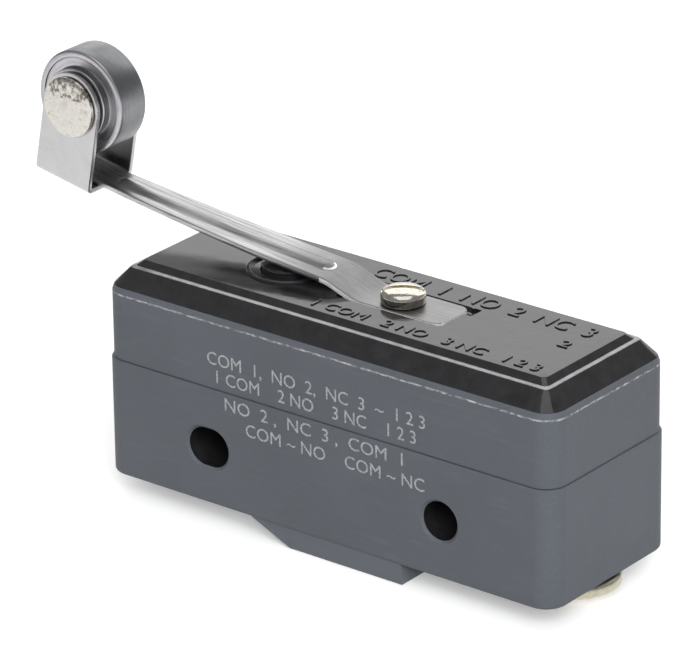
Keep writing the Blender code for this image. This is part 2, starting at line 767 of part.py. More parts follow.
def build_com_terminal(parts, cutters, surface):
    """Carries the snap blade on a neck that stands up into the cavity."""
    x = -TERMINAL_REACH
    seat = BLADE_HEIGHT - BLADE_THICKNESS / 2 - SIT_GAP
    terminal, tapping = terminal_base("com_terminal", x, CAVITY_FLOOR - 0.1 * MM, parts, cutters)
    neck = upright_rod("com_neck", x, TAPPING_TOP + TAPPING_COVER, seat, NECK_RADIUS, cutters)
    rivet_radius = CONTACT_SHANK_RADIUS + RUNNING_GAP
    rivet_hole = upright_rod(
        "com_rivet_hole", x, seat - 2.5 * MM, seat + OVERSHOOT, rivet_radius, cutters, SMALL_SEGMENTS
    )
    join(terminal, neck)
    cut(terminal, tapping, rivet_hole)
    return finish(freeze(terminal), surface)


def build_no_terminal(parts, cutters, surface):
    """Reaches along the floor of the cavity to hold the lower contact."""
    floor = CAVITY_FLOOR + 0.25 * MM
    top = floor + STRAP_THICKNESS
    terminal, tapping = terminal_base("no_terminal", CENTRE_TERMINAL_X, top, parts, cutters)
    reach_x = CONTACT_X + CONTACT_RADIUS
    bar = strap("no_bar", CENTRE_TERMINAL_X, reach_x, floor, top + 0.02 * MM, cutters)
    hole_radius = CONTACT_SHANK_RADIUS + RUNNING_GAP
    hole = upright_rod(
        "no_contact_hole", CONTACT_X, floor - OVERSHOOT, top + OVERSHOOT, hole_radius, cutters,
        SMALL_SEGMENTS,
    )
    join(terminal, bar)
    cut(terminal, tapping, hole)
    return finish(freeze(terminal), surface)


def build_nc_terminal(parts, cutters, surface):
    """Climbs the end wall and reaches back over the blade to hold the upper contact."""
    wall_x = CAVITY_HALF_LENGTH - 0.4 * MM
    bar_low = nc_bar_low()
    bar_high = bar_low + STRAP_THICKNESS
    x = TERMINAL_REACH
    terminal, tapping = terminal_base("nc_terminal", x, CAVITY_FLOOR - 0.1 * MM, parts, cutters)
    riser_low = TAPPING_TOP + TAPPING_COVER
    riser = strap("nc_riser", wall_x - STRAP_THICKNESS, wall_x, riser_low, bar_high, cutters)
    near_x = CONTACT_X - CONTACT_RADIUS
    bar = strap(
        "nc_bar", near_x, wall_x - 0.05 * MM, bar_low, bar_high - 0.05 * MM, cutters,
        STRAP_WIDTH - 0.1 * MM,
    )
    hole_radius = CONTACT_SHANK_RADIUS + RUNNING_GAP
    hole = upright_rod(
        "nc_contact_hole", CONTACT_X, bar_low - OVERSHOOT, bar_high + OVERSHOOT, hole_radius, cutters,
        SMALL_SEGMENTS,
    )
    join(terminal, riser, bar)
    cut(terminal, tapping, hole)
    return finish(freeze(terminal), surface)


def nc_bar_low():
    """Underside of the upper contact's bar: above the blade's contact, its gap and the button."""
    blade_top = BLADE_HEIGHT + BLADE_THICKNESS / 2
    button_low = blade_top + CONTACT_THICKNESS + CONTACT_GAP
    return button_low + CONTACT_THICKNESS + 0.1 * MM


def contact_button(name, seat, facing, thickness, parts, surface):
    """A button with a shank; facing is +1 with its face up and -1 with its face down."""
    shank = 0.7 * MM
    profile = [
        (0.0, thickness),
        (CONTACT_RADIUS - 0.2 * MM, thickness),
        (CONTACT_RADIUS, thickness - 0.2 * MM),
        (CONTACT_RADIUS, 0.0),
        (CONTACT_SHANK_RADIUS, 0.0),
        (CONTACT_SHANK_RADIUS, -shank),
        (0.0, -shank),
    ]
    if facing < 0:
        profile = [(radius, -rise) for radius, rise in reversed(profile)]
    place = (CONTACT_X, MID_Y, up(seat))
    button = turned(name, profile, parts, place, segments=SMALL_SEGMENTS)
    return finish(button, surface)


def build_fixed_contacts(parts, surface):
    lower_face = BLADE_HEIGHT - BLADE_THICKNESS / 2 - CONTACT_THICKNESS
    no_seat = CAVITY_FLOOR + 0.25 * MM + STRAP_THICKNESS + 0.12 * MM
    no_thickness = lower_face - CONTACT_STROKE - CONTACT_GAP - no_seat
    contact_button("no_contact", no_seat, 1, no_thickness, parts, surface)
    nc_seat = nc_bar_low() - 0.1 * MM
    contact_button("nc_contact", nc_seat, -1, CONTACT_THICKNESS, parts, surface)


def build_snap_blade(parts, cutters, surface):
    """A flat spring with two slots that leave three tongues, clamped over the common terminal."""
    half = BLADE_THICKNESS / 2
    left_x = -TERMINAL_REACH - NECK_RADIUS
    low = (left_x, MID_Y - BLADE_HALF_WIDTH, up(BLADE_HEIGHT - half))
    high = (BLADE_END_X, MID_Y + BLADE_HALF_WIDTH, up(BLADE_HEIGHT + half))
    blade = box("snap_blade", low, high, parts)
    slot_start = -TERMINAL_REACH + 4 * MM
    slot_end = CONTACT_X - 4 * MM
    for side, sign in (("front", -1), ("rear", 1)):
        middle = MID_Y + sign * BLADE_HALF_WIDTH / 2
        slot_low = (slot_start, middle - 0.5 * MM, up(BLADE_HEIGHT - OVERSHOOT))
        slot_high = (slot_end, middle + 0.5 * MM, up(BLADE_HEIGHT + OVERSHOOT))
        cut(blade, box(f"{side}_slot", slot_low, slot_high, cutters, 0.4 * MM, 3))
    for end, x in (("anchor", -TERMINAL_REACH), ("contact", CONTACT_X)):
        hole_radius = CONTACT_SHANK_RADIUS + 1.5 * RUNNING_GAP
        hole = upright_rod(
            f"blade_{end}_hole", x, BLADE_HEIGHT - OVERSHOOT, BLADE_HEIGHT + OVERSHOOT, hole_radius,
            cutters, SMALL_SEGMENTS,
        )
        cut(blade, hole)
    return finish(freeze(blade), surface)


def build_moving_contact(parts, surface):
    """A double-faced contact riveted through the blade's end, turned as one piece."""
    waist = BLADE_THICKNESS / 2 + 0.05 * MM
    face = BLADE_THICKNESS / 2 + CONTACT_THICKNESS
    side = [
        (0.0, face),
        (CONTACT_RADIUS - 0.2 * MM, face),
        (CONTACT_RADIUS, face - 0.2 * MM),
        (CONTACT_RADIUS, waist),
        (CONTACT_SHANK_RADIUS, waist),
    ]
    profile = side + [(radius, -rise) for radius, rise in reversed(side)]
    place = (CONTACT_X, MID_Y, up(BLADE_HEIGHT))
    contact = turned("moving_contact", profile, parts, place, segments=SMALL_SEGMENTS)
    return finish(contact, surface)


def build_blade_rivet(parts, surface):
    """Holds the blade on the common terminal; its head clears the blade's tilt."""
    head = 0.6 * MM
    head_radius = 1.6 * MM
    profile = [
        (0.0, head),
        (head_radius - 0.3 * MM, head),
        (head_radius, head / 2),
        (head_radius, 0.0),
        (CONTACT_SHANK_RADIUS, 0.0),
        (CONTACT_SHANK_RADIUS, -2.6 * MM),
        (0.0, -2.6 * MM),
    ]
    place = (-TERMINAL_REACH, MID_Y, up(BLADE_HEIGHT + BLADE_THICKNESS / 2 + SIT_GAP))
    rivet = turned("blade_rivet", profile, parts, place, segments=SMALL_SEGMENTS)
    return finish(rivet, surface)


def build_terminal_washer(name, x, parts, surface):
    """A cup washer under the terminal, its rim turned down towards the screw head."""
    bore = TERMINAL_SHANK_RADIUS + 2 * RUNNING_GAP
    top = WASHER_TOP
    bottom = top - WASHER_THICKNESS
    lip_inner = WASHER_RADIUS - 0.45 * MM
    profile = (
        (bore, top),
        (WASHER_RADIUS - 0.3 * MM, top),
        (WASHER_RADIUS, top - 0.3 * MM),
        (WASHER_RADIUS, bottom - WASHER_LIP),
        (lip_inner, bottom - WASHER_LIP),
        (lip_inner, bottom),
        (bore, bottom),
    )
    place = (x, MID_Y, up(0.0))
    return finish(turned_ring(name, profile, parts, place), surface)


def build_terminal_screw(name, x, parts, cutters, surface):
    """A binding-head screw driven up into its terminal; heights are from the case's underside."""
    head_top = WASHER_TOP - WASHER_THICKNESS - 0.1 * MM
    profile = [
        (0.0, TERMINAL_SCREW_TOP),
        (TERMINAL_SHANK_RADIUS - 0.3 * MM, TERMINAL_SCREW_TOP),
        (TERMINAL_SHANK_RADIUS, TERMINAL_SCREW_TOP - 0.3 * MM),
        (TERMINAL_SHANK_RADIUS, head_top),
        (TERMINAL_HEAD_RADIUS, head_top),
        (TERMINAL_HEAD_RADIUS, TERMINAL_SCREW_BOTTOM + 0.5 * MM),
        (TERMINAL_HEAD_RADIUS * 0.8, TERMINAL_SCREW_BOTTOM + 0.12 * MM),
        (TERMINAL_HEAD_RADIUS * 0.45, TERMINAL_SCREW_BOTTOM),
        (0.0, TERMINAL_SCREW_BOTTOM),
    ]
    screw = turned(name, profile, parts, (x, MID_Y, up(0.0)), segments=SMALL_SEGMENTS)
    centre = Vector((x, MID_Y, up(TERMINAL_SCREW_BOTTOM)))
    half_slot = Vector((0.4 * MM, TERMINAL_HEAD_RADIUS + OVERSHOOT, 0.6 * MM))
    slot = box(f"{name}_slot", centre - half_slot, centre + half_slot, cutters)
    cut(screw, slot)
    return finish(freeze(screw), surface)


# ---------------------------------------------------------------- assembly


def main():
    clear_scene()
    parts = new_group("roller_lever_limit_switch")
    cutters = new_group("cutters")

    phenolic = material("ground_phenolic", (0.13, 0.14, 0.15), 0.6, 0.0)
    gloss = material("gloss_phenolic", (0.03, 0.03, 0.035), 0.2, 0.0)
    black = material("plunger_plastic", (0.01, 0.01, 0.012), 0.3, 0.0)
    steel = material("lever_steel", (0.6, 0.6, 0.58), 0.3, 1.0)
    nickel = material("screw_nickel", (0.72, 0.68, 0.58), 0.25, 1.0)
    rivet = material("pin_steel", (0.68, 0.65, 0.58), 0.3, 1.0)
    rolled = material("roller_steel", (0.35, 0.35, 0.37), 0.45, 0.9)
    copper = material("blade_copper", (0.75, 0.5, 0.32), 0.35, 1.0)
    brass = material("terminal_brass", (0.78, 0.62, 0.34), 0.35, 1.0)
    silver = material("contact_silver", (0.85, 0.84, 0.8), 0.25, 1.0)
    plated = material("washer_plating", (0.85, 0.83, 0.68), 0.35, 0.9)

    build_case(parts, cutters, phenolic)
    build_cover(parts, cutters, gloss)
    build_plunger(parts, black)
    build_lever_tail(parts, cutters, steel)
    arm = build_lever_arm(parts, steel)
    bracket = build_roller_bracket(parts, cutters, steel)
    build_lever_screw(parts, cutters, nickel)
    build_insert(parts, brass)
    roller = build_roller(parts, rolled)
    pin = build_roller_pin(parts, rivet)
    build_com_terminal(parts, cutters, brass)
    build_no_terminal(parts, cutters, brass)
    build_nc_terminal(parts, cutters, brass)
    build_fixed_contacts(parts, silver)
    blade = build_snap_blade(parts, cutters, copper)
    contact = build_moving_contact(parts, silver)
    build_blade_rivet(parts, nickel)
    for name, x in (
        ("com", -TERMINAL_REACH),
        ("no", CENTRE_TERMINAL_X),
        ("nc", TERMINAL_REACH),
    ):
        build_terminal_washer(f"{name}_terminal_washer", x, parts, plated)
        build_terminal_screw(f"{name}_terminal_screw", x, parts, cutters, nickel)

    lever_axis = axis_empty("lever_axis", (FLEX_X, MID_Y, up(strip_height(FLEX_X))), parts)
    roller_axis = axis_empty("roller_axis", (PIN_X, MID_Y, up(PIN_HEIGHT)), parts, lever_axis)
    blade_axis = axis_empty("blade_axis", (-TERMINAL_REACH, MID_Y, up(BLADE_HEIGHT)), parts)
    hang(arm, lever_axis)
    hang(bracket, lever_axis)
    hang(pin, lever_axis)
    hang(roller, roller_axis)
    hang(blade, blade_axis)
    hang(contact, blade_axis)


main()
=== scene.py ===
"""Looks of the sprung-roller-lever limit switch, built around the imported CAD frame.

Every place comes from the frame's own boxes or from the sizes named below, in metres.
"""

import math

import bmesh
import bpy
from mathutils import Matrix, Vector


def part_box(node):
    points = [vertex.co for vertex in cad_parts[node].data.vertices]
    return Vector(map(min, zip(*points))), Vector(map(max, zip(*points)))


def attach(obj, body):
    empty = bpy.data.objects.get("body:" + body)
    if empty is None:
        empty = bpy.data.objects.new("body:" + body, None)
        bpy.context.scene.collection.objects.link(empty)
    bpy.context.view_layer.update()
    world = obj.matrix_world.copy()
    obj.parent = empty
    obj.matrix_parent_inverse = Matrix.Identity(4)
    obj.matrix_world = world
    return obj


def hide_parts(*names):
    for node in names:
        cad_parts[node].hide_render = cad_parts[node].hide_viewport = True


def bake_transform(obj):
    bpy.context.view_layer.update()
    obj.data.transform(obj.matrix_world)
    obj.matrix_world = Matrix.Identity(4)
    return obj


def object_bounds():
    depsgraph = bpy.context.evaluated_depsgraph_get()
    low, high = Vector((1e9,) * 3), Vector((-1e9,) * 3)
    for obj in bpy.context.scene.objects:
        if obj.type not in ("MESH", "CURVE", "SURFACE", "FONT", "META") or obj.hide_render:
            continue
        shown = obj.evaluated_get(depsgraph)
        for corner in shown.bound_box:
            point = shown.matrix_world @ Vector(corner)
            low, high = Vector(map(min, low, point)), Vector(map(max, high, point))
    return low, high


MM = 0.001

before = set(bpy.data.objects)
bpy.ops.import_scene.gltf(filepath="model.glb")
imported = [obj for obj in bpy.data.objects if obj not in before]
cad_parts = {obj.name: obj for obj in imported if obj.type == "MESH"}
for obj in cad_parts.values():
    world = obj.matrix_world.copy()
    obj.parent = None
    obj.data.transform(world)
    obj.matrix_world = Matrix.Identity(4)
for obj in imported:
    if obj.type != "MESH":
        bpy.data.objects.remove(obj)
CAD_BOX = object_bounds()

# --- places from the frame

CASE_LOW, CASE_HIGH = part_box("case")
COVER_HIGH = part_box("cover")[1]
PLUNGER_LOW, PLUNGER_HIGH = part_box("plunger")
TAIL_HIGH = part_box("lever_tail")[1]
SCREW_LOW, SCREW_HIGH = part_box("lever_screw")
ROLLER_LOW, ROLLER_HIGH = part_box("roller")

FOOT_DROP = 2.05 * MM
UNDERSIDE = CASE_LOW.z + FOOT_DROP
MID_Y = (CASE_LOW.y + CASE_HIGH.y) / 2


def up(height):
    """A height above the case's underside, in the frame's z."""
    return UNDERSIDE + height


# --- sizes

SKIN = 0.03 * MM  # how far the shells lie inside the CAD solids, so that print fits on them
HALF_LENGTH = CASE_HIGH.x - SKIN
HALF_DEPTH = (CASE_HIGH.y - CASE_LOW.y) / 2 - SKIN
CORNER_RADIUS = 2.1 * MM
SPLIT_HEIGHT = 11.14 * MM
SPLIT_GAP = 0.03 * MM
CORNER_STEPS = 10
WALL_TOP = 17.45 * MM
BODY_HEIGHT = 20.1 * MM
COVER_STEP = 0.15 * MM
GLOSS_FROM = 18.0 * MM  # the cover is glossy above this height
RIDGE_HEIGHT = 19.56 * MM
COVER_PROFILE = (  # (inset from the wall, height, edge radius)
    (0.0, SPLIT_HEIGHT + SPLIT_GAP, 0.06 * MM),
    (0.0, WALL_TOP, 0.08 * MM),
    (0.2 * MM, GLOSS_FROM, 0.1 * MM),
    (1.72 * MM, 19.55 * MM, 0.05 * MM),
    (2.02 * MM, 19.58 * MM, 0.04 * MM),
    (2.6 * MM, BODY_HEIGHT, 0.08 * MM),
)
SMALLEST_CORNER = 0.5 * MM
ROOF_UNDERSIDE = 17.3 * MM
CAVITY_HALF = (23.2 * MM, 7.0 * MM)
CAVITY_FLOOR = 8.4 * MM
CAVITY_CORNER = 1.0 * MM
BOSS_RADIUS = 3.8 * MM
BOSS_BOTTOM = 15.5 * MM
INSERT_ROOM_RADIUS = 2.5 * MM

HOLE_REACH = 12.7 * MM
HOLE_HEIGHT = 5.35 * MM
HOLE_RADIUS = 1.8 * MM
SLOT_STRETCH = 0.8 * MM
HOLE_CHAMFER = 0.25 * MM

FOOT_SLOPE_TOP_X = -7.76 * MM
FOOT_LEFT_X = -4.0 * MM
FOOT_RIGHT_X = 8.45 * MM
FOOT_STEP = 0.05 * MM
FOOT_TAPER = 0.3 * MM

POCKET_LEFT_X = -3.2 * MM
POCKET_RIGHT_X = 8.3 * MM
POCKET_HALF_WIDTH = 2.5 * MM
POCKET_FLOOR = 19.4 * MM
POCKET_CORNER = 0.5 * MM
NOTCH_RIGHT_X = 9.05 * MM
NOTCH_FRONT = 0.9 * MM
NOTCH_DROP = 0.8 * MM

PLUNGER_X = (PLUNGER_LOW.x + PLUNGER_HIGH.x) / 2
PLUNGER_RADIUS = 2.3 * MM
PLUNGER_RIM = 20.62 * MM
PLUNGER_TOP = PLUNGER_HIGH.z - UNDERSIDE
PLUNGER_FLANGE_RADIUS = (PLUNGER_HIGH.x - PLUNGER_LOW.x) / 2
RING_OUTER_RADIUS = 3.7 * MM
RING_INNER_RADIUS = 3.25 * MM
RING_RISE = COVER_HIGH.z - UNDERSIDE - BODY_HEIGHT

SCREW_X = (SCREW_LOW.x + SCREW_HIGH.x) / 2
SCREW_HEAD_RADIUS = (SCREW_HIGH.x - SCREW_LOW.x) / 2
SCREW_HEAD_RISE = 1.4 * MM
SCREW_RIM_RISE = 0.72 * MM
SCREW_SHANK_RADIUS = 1.1 * MM
SLOT_TURN = math.radians(36)
SLOT_DEPTH = 0.5 * MM
SLOT_HALF_WIDTH = 0.3 * MM

THICKNESS = 0.5 * MM
STRIP_HALF_WIDTH = 2.3 * MM
STRIP_TIP_HALF_WIDTH = 1.65 * MM
TAIL_END_X = TAIL_HIGH.x
TAIL_HEIGHT = 19.85 * MM
TAIL_CORNER = 1.05 * MM
BEND_FOOT_X = -1.2 * MM
BEND_HEAD_X = -4.35 * MM
BEND_HEAD_HEIGHT = 21.05 * MM
BEND_EASE = 0.5 * MM
ARM_SLOPE = 0.080
ARM_CURVE = 0.0011 / MM
ARM_END_X = -34.8 * MM
TAPER_START_X = -12.0 * MM
TAPER_END_X = -31.2 * MM
SEAT_X = -30.4 * MM
BEAD_START_X = -4.9 * MM
BEAD_END_X = -29.6 * MM
BEAD_RAMP = 1.0 * MM
BEAD_HALF_WIDTH = 1.2 * MM
BEAD_RISE = 0.34 * MM

PIN_X = (ROLLER_LOW.x + ROLLER_HIGH.x) / 2
PIN_Z = (ROLLER_LOW.z + ROLLER_HIGH.z) / 2
FORK_TILT = math.radians(10.5)
FORK_HALF_WIDTH = 3.05 * MM
EAR_THICKNESS = 0.45 * MM
EAR_RADIUS = 3.08 * MM
EAR_DROP = 7.65 * MM
EAR_BEND = 0.42 * MM
PIN_RADIUS = 1.4 * MM
PIN_HEAD_RADIUS = 2.8 * MM
PIN_HEAD_RISE = 0.55 * MM
RUNNING_GAP = 0.1 * MM
GRIME_FROM = PIN_Z + 0.9 * MM
ROLLER_RADIUS = (ROLLER_HIGH.z - ROLLER_LOW.z) / 2
ROLLER_HALF_WIDTH = 1.75 * MM
HUB_RADIUS = 3.3 * MM
HUB_RISE = 0.6 * MM

TERMINALS = ("com", "no", "nc")
SHAFT_RADIUS = 2.9 * MM
SEAT_RADIUS = 3.2 * MM
SEAT_TOP = 1.2 * MM
WASHER_RADIUS = 3.9 * MM
WASHER_TOP = -0.1 * MM
WASHER_THICKNESS = 0.55 * MM
WASHER_LIP = 0.45 * MM
RECESS_GAP = 0.3 * MM
TERMINAL_HEAD_RADIUS = 3.1 * MM
TERMINAL_SCREW_BOTTOM = -1.95 * MM
TERMINAL_SCREW_TOP = 5.9 * MM
TERMINAL_SHANK_RADIUS = 1.4 * MM
TERMINAL_SLOT_HALF_WIDTH = 0.4 * MM
TERMINAL_SLOT_DEPTH = 0.6 * MM

EDGE = 0.12 * MM  # the usual small edge radius
OVERSHOOT = 1.0 * MM  # how far cutters reach past what they cut
FIT_GAP = 0.2 * MM  # around what sits in a bore
SMOOTH_ANGLE = math.radians(32)

CAMERA_AZIMUTH = 38.3
CAMERA_ELEVATION = 23.254
CAMERA_ROLL = -0.779
CAMERA_DISTANCE = 465.178 * MM
CAMERA_TARGET_X = -3.471 * MM
CAMERA_TARGET_HEIGHT = 16.186 * MM
FLOOR_GLOW = 0.32  # the paper's own light near the object
FAR_GLOW = 1.0


# --- mesh helpers


def placed(name, data):
    """A new object in the scene, of a mesh, curve, light or camera."""
    obj = bpy.data.objects.new(name, data)
    bpy.context.scene.collection.objects.link(obj)
    return obj


def new_object(name, shape):
    """Turns a bmesh into an object in the scene and frees it."""
    bmesh.ops.recalc_face_normals(shape, faces=shape.faces)
    mesh = bpy.data.meshes.new(name)
    shape.to_mesh(mesh)
    shape.free()
    return placed(name, mesh)


def apply_modifiers(obj):
    """Replaces the object's mesh by what its modifiers make of it."""
    depsgraph = bpy.context.evaluated_depsgraph_get()
    obj.data = bpy.data.meshes.new_from_object(obj.evaluated_get(depsgraph))
    obj.modifiers.clear()
    return obj


def combine(obj, tool, operation):
    """One Boolean with a tool that is then removed."""
    step = obj.modifiers.new(operation.lower(), "BOOLEAN")
    step.operation = operation
    step.solver = "EXACT"
    step.object = tool
    apply_modifiers(obj)
    bpy.data.objects.remove(tool)
    return obj


def cut(obj, *tools):
    """Takes each tool's shape away from the object."""
    for tool in tools:
        combine(obj, tool, "DIFFERENCE")
    return obj


def join(obj, *tools):
    """Makes the object and each tool one body."""
    for tool in tools:
        combine(obj, tool, "UNION")
    return obj


def smooth(obj):
    """Smooth shading with crisp edges, where big flat faces keep their own normals."""
    obj.data.shade_smooth()
    obj.data.set_sharp_from_angle(angle=SMOOTH_ANGLE)
    weigh = obj.modifiers.new("weigh", "WEIGHTED_NORMAL")
    weigh.keep_sharp = True
    weigh.weight = 100
    return apply_modifiers(obj)


def fillet(points, radii, steps=4, closed=False):
    """A polyline whose corners are rounded by arcs of the given radii."""
    result = []
    count = len(points)
    for index, (point, radius) in enumerate(zip(points, radii)):
        at_end = not closed and index in (0, count - 1)
        here = Vector(point)
        before = Vector(points[index - 1])
        after = Vector(points[(index + 1) % count])
        back = before - here
        on = after - here
        if at_end or radius <= 0 or back.length < 1e-9 or on.length < 1e-9:
            result.append(tuple(here))
            continue
        angle = back.angle(on)
        if abs(angle - math.pi) < 1e-3:
            result.append(tuple(here))
            continue
        reach = min(radius / math.tan(angle / 2), back.length * 0.45, on.length * 0.45)
        radius = reach * math.tan(angle / 2)
        middle = (back.normalized() + on.normalized()).normalized()
        centre = here + middle * (radius / math.sin(angle / 2))
        start = (here + back.normalized() * reach - centre).normalized()
        end = (here + on.normalized() * reach - centre).normalized()
        for step in range(steps + 1):
            result.append(tuple(centre + radius * start.slerp(end, step / steps)))
    return result


def lofted(name, rings):
    """A solid between closed rings of equal point counts."""
    shape = bmesh.new()
    loops = [[shape.verts.new(point) for point in ring] for ring in rings]
    for low, high in zip(loops, loops[1:]):
        for index in range(len(low)):
            after = (index + 1) % len(low)
            shape.faces.new((low[index], low[after], high[after], high[index]))
    shape.faces.new(loops[0][::-1])
    shape.faces.new(loops[-1])
    return new_object(name, shape)


def rounded_rectangle(half_x, half_y, radius, z):
    """The points of a rectangle about the body's middle, its corners round."""
    points = []
    for corner, (side_x, side_y) in enumerate(((1, 1), (-1, 1), (-1, -1), (1, -1))):
        centre_x = side_x * (half_x - radius)
        centre_y = side_y * (half_y - radius)
        for step in range(CORNER_STEPS + 1):
            angle = math.pi / 2 * (corner + step / CORNER_STEPS)
            x = centre_x + radius * math.cos(angle)
            y = centre_y + radius * math.sin(angle)
            points.append((x, MID_Y + y, z))
    return points


def block(name, low, high, radius=0.0, segments=3):
    """A box between two corners with all its edges rounded."""
    shape = bmesh.new()
    bmesh.ops.create_cube(shape, size=1.0)
    low, high = Vector(low), Vector(high)
    for vert in shape.verts:
        share = vert.co + Vector((0.5, 0.5, 0.5))
        vert.co = [a + (b - a) * s for a, b, s in zip(low, high, share)]
    if radius > 0:
        bmesh.ops.bevel(
            shape, geom=shape.edges[:], offset=radius, segments=segments, affect="EDGES", profile=0.5
        )
    return new_object(name, shape)


def turned(name, profile, centre, axis="Z", segments=64):
    """A solid turned from (radius, along) points; one that starts and ends off its axis is a ring."""
    shape = bmesh.new()
    centre = Vector(centre)
    hollow = profile[0][0] > 0
    loops = []
    for radius, along in profile:
        if radius <= 1e-9:
            spots = [(0.0, 0.0)]
        else:
            turns = [2 * math.pi * step / segments for step in range(segments)]
            spots = [(radius * math.cos(turn), radius * math.sin(turn)) for turn in turns]
        if axis == "Z":
            ring = [centre + Vector((a, b, along)) for a, b in spots]
        else:
            ring = [centre + Vector((a, along, b)) for a, b in spots]
        loops.append([shape.verts.new(point) for point in ring])
    pairs = list(zip(loops, loops[1:]))
    if hollow:
        pairs.append((loops[-1], loops[0]))
    for one, two in pairs:
        for index in range(max(len(one), len(two))):
            after = (index + 1) % max(len(one), len(two))
            if len(one) == 1:
                shape.faces.new((one[0], two[index], two[after]))
            elif len(two) == 1:
                shape.faces.new((one[index], one[after], two[0]))
            else:
                shape.faces.new((one[index], one[after], two[after], two[index]))
    return new_object(name, shape)


def cylinder(name, centre, radius, low, high, axis="Z", segments=64):
    """A plain cutter along an axis, between two places on it counted from the centre."""
    profile = ((0.0, low), (radius, low), (radius, high), (0.0, high))
    return turned(name, profile, centre, axis, segments)


def coat(mesh, *surfaces):
    """Gives a mesh these materials and no others."""
    mesh.materials.clear()
    for surface in surfaces:
        mesh.materials.append(surface)


def paint_faces(obj, materials, choose):
    """Gives the object these materials, and each face the one that choose(centre, normal) picks."""
    coat(obj.data, *materials)
    for face in obj.data.polygons:
        face.material_index = choose(face.center, face.normal)
    return obj


def finish_piece(obj, body, surface=None, stands_for=()):
    """Smooths a piece, gives it its material, and ties it to the frame."""
    smooth(obj)
    if surface:
        coat(obj.data, surface)
    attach(obj, body)
    if stands_for:
        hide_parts(*stands_for)
    return obj


# --- materials


def grey(value):
    return (value, value, value)


class Nodes:
    """A short way to write a material's node tree in object space, in metres."""

    def __init__(self, name):
        self.material = bpy.data.materials.new(name)
        self.material.use_nodes = True
        self.tree = self.material.node_tree
        self.shader = self.tree.nodes["Principled BSDF"]
        self.place = self.add("ShaderNodeTexCoord").outputs["Object"]

    def add(self, kind, **inputs):
        node = self.tree.nodes.new(kind)
        for name, value in inputs.items():
            self.feed(node.inputs[name], value)
        return node

    def feed(self, socket, value):
        if isinstance(value, bpy.types.NodeSocket):
            self.tree.links.new(value, socket)
        else:
            socket.default_value = value

    def stretched(self, scale, turn=(0.0, 0.0, 0.0)):
        node = self.add("ShaderNodeMapping", Vector=self.place)
        node.inputs["Scale"].default_value = scale
        node.inputs["Rotation"].default_value = turn
        return node.outputs["Vector"]

    def noise(self, feature, detail=4.0, stretch=(1.0, 1.0, 1.0), roughness=0.55, turn=(0, 0, 0)):
        """Noise whose features are about this many metres across, longer where stretch is below 1."""
        scale = tuple(s / feature for s in stretch)
        node = self.add("ShaderNodeTexNoise", Vector=self.stretched(scale, turn))
        node.inputs["Scale"].default_value = 1.0
        node.inputs["Detail"].default_value = detail
        node.inputs["Roughness"].default_value = roughness
        return node.outputs["Fac"]

    def ramp(self, value, *stops):
        """A colour ramp with (position, colour) stops; a single number is a grey."""
        node = self.add("ShaderNodeValToRGB", Fac=value)
        elements = node.color_ramp.elements
        while len(elements) < len(stops):
            elements.new(0.5)
        for element, (position, colour) in zip(elements, stops):
            element.position = position
            if not hasattr(colour, "__len__"):
                colour = grey(colour)
            element.color = (*colour, 1.0)
        return node.outputs["Color"]

    def math(self, operation, first, second=0.0):
        node = self.add("ShaderNodeMath")
        node.operation = operation
        self.feed(node.inputs[0], first)
        self.feed(node.inputs[1], second)
        return node.outputs[0]

    def mix(self, share, first, second):
        node = self.add("ShaderNodeMix")
        node.data_type = "RGBA"
        colours = [socket for socket in node.inputs if socket.type == "RGBA"]
        self.feed(node.inputs[0], share)
        for socket, value in zip(colours, (first, second)):
            if not isinstance(value, bpy.types.NodeSocket):
                value = (*value, 1.0)
            self.feed(socket, value)
        return [socket for socket in node.outputs if socket.type == "RGBA"][0]

    def vector(self, operation, first, second=(0.0, 0.0, 0.0)):
        node = self.add("ShaderNodeVectorMath")
        node.operation = operation
        self.feed(node.inputs[0], first)
        self.feed(node.inputs[1], second)
        return node.outputs["Value" if operation in ("LENGTH", "DISTANCE") else "Vector"]

    def flattened(self):
        """The point's place in plan, at no height."""
        return self.vector("MULTIPLY", self.place, (1.0, 1.0, 0.0))

    def height(self):
        """The point's height in the frame."""
        return self.add("ShaderNodeSeparateXYZ", Vector=self.place).outputs["Z"]

    def bump(self, value, distance, strength=1.0):
        node = self.add("ShaderNodeBump", Height=value)
        node.inputs["Distance"].default_value = distance
        node.inputs["Strength"].default_value = strength
        self.tree.links.new(node.outputs["Normal"], self.shader.inputs["Normal"])

    def colour(self, value):
        self.feed(self.shader.inputs["Base Color"], value)

    def roughness(self, value):
        self.feed(self.shader.inputs["Roughness"], value)

    def fixed(self, **values):
        for name, value in values.items():
            self.shader.inputs[name.replace("_", " ")].default_value = value


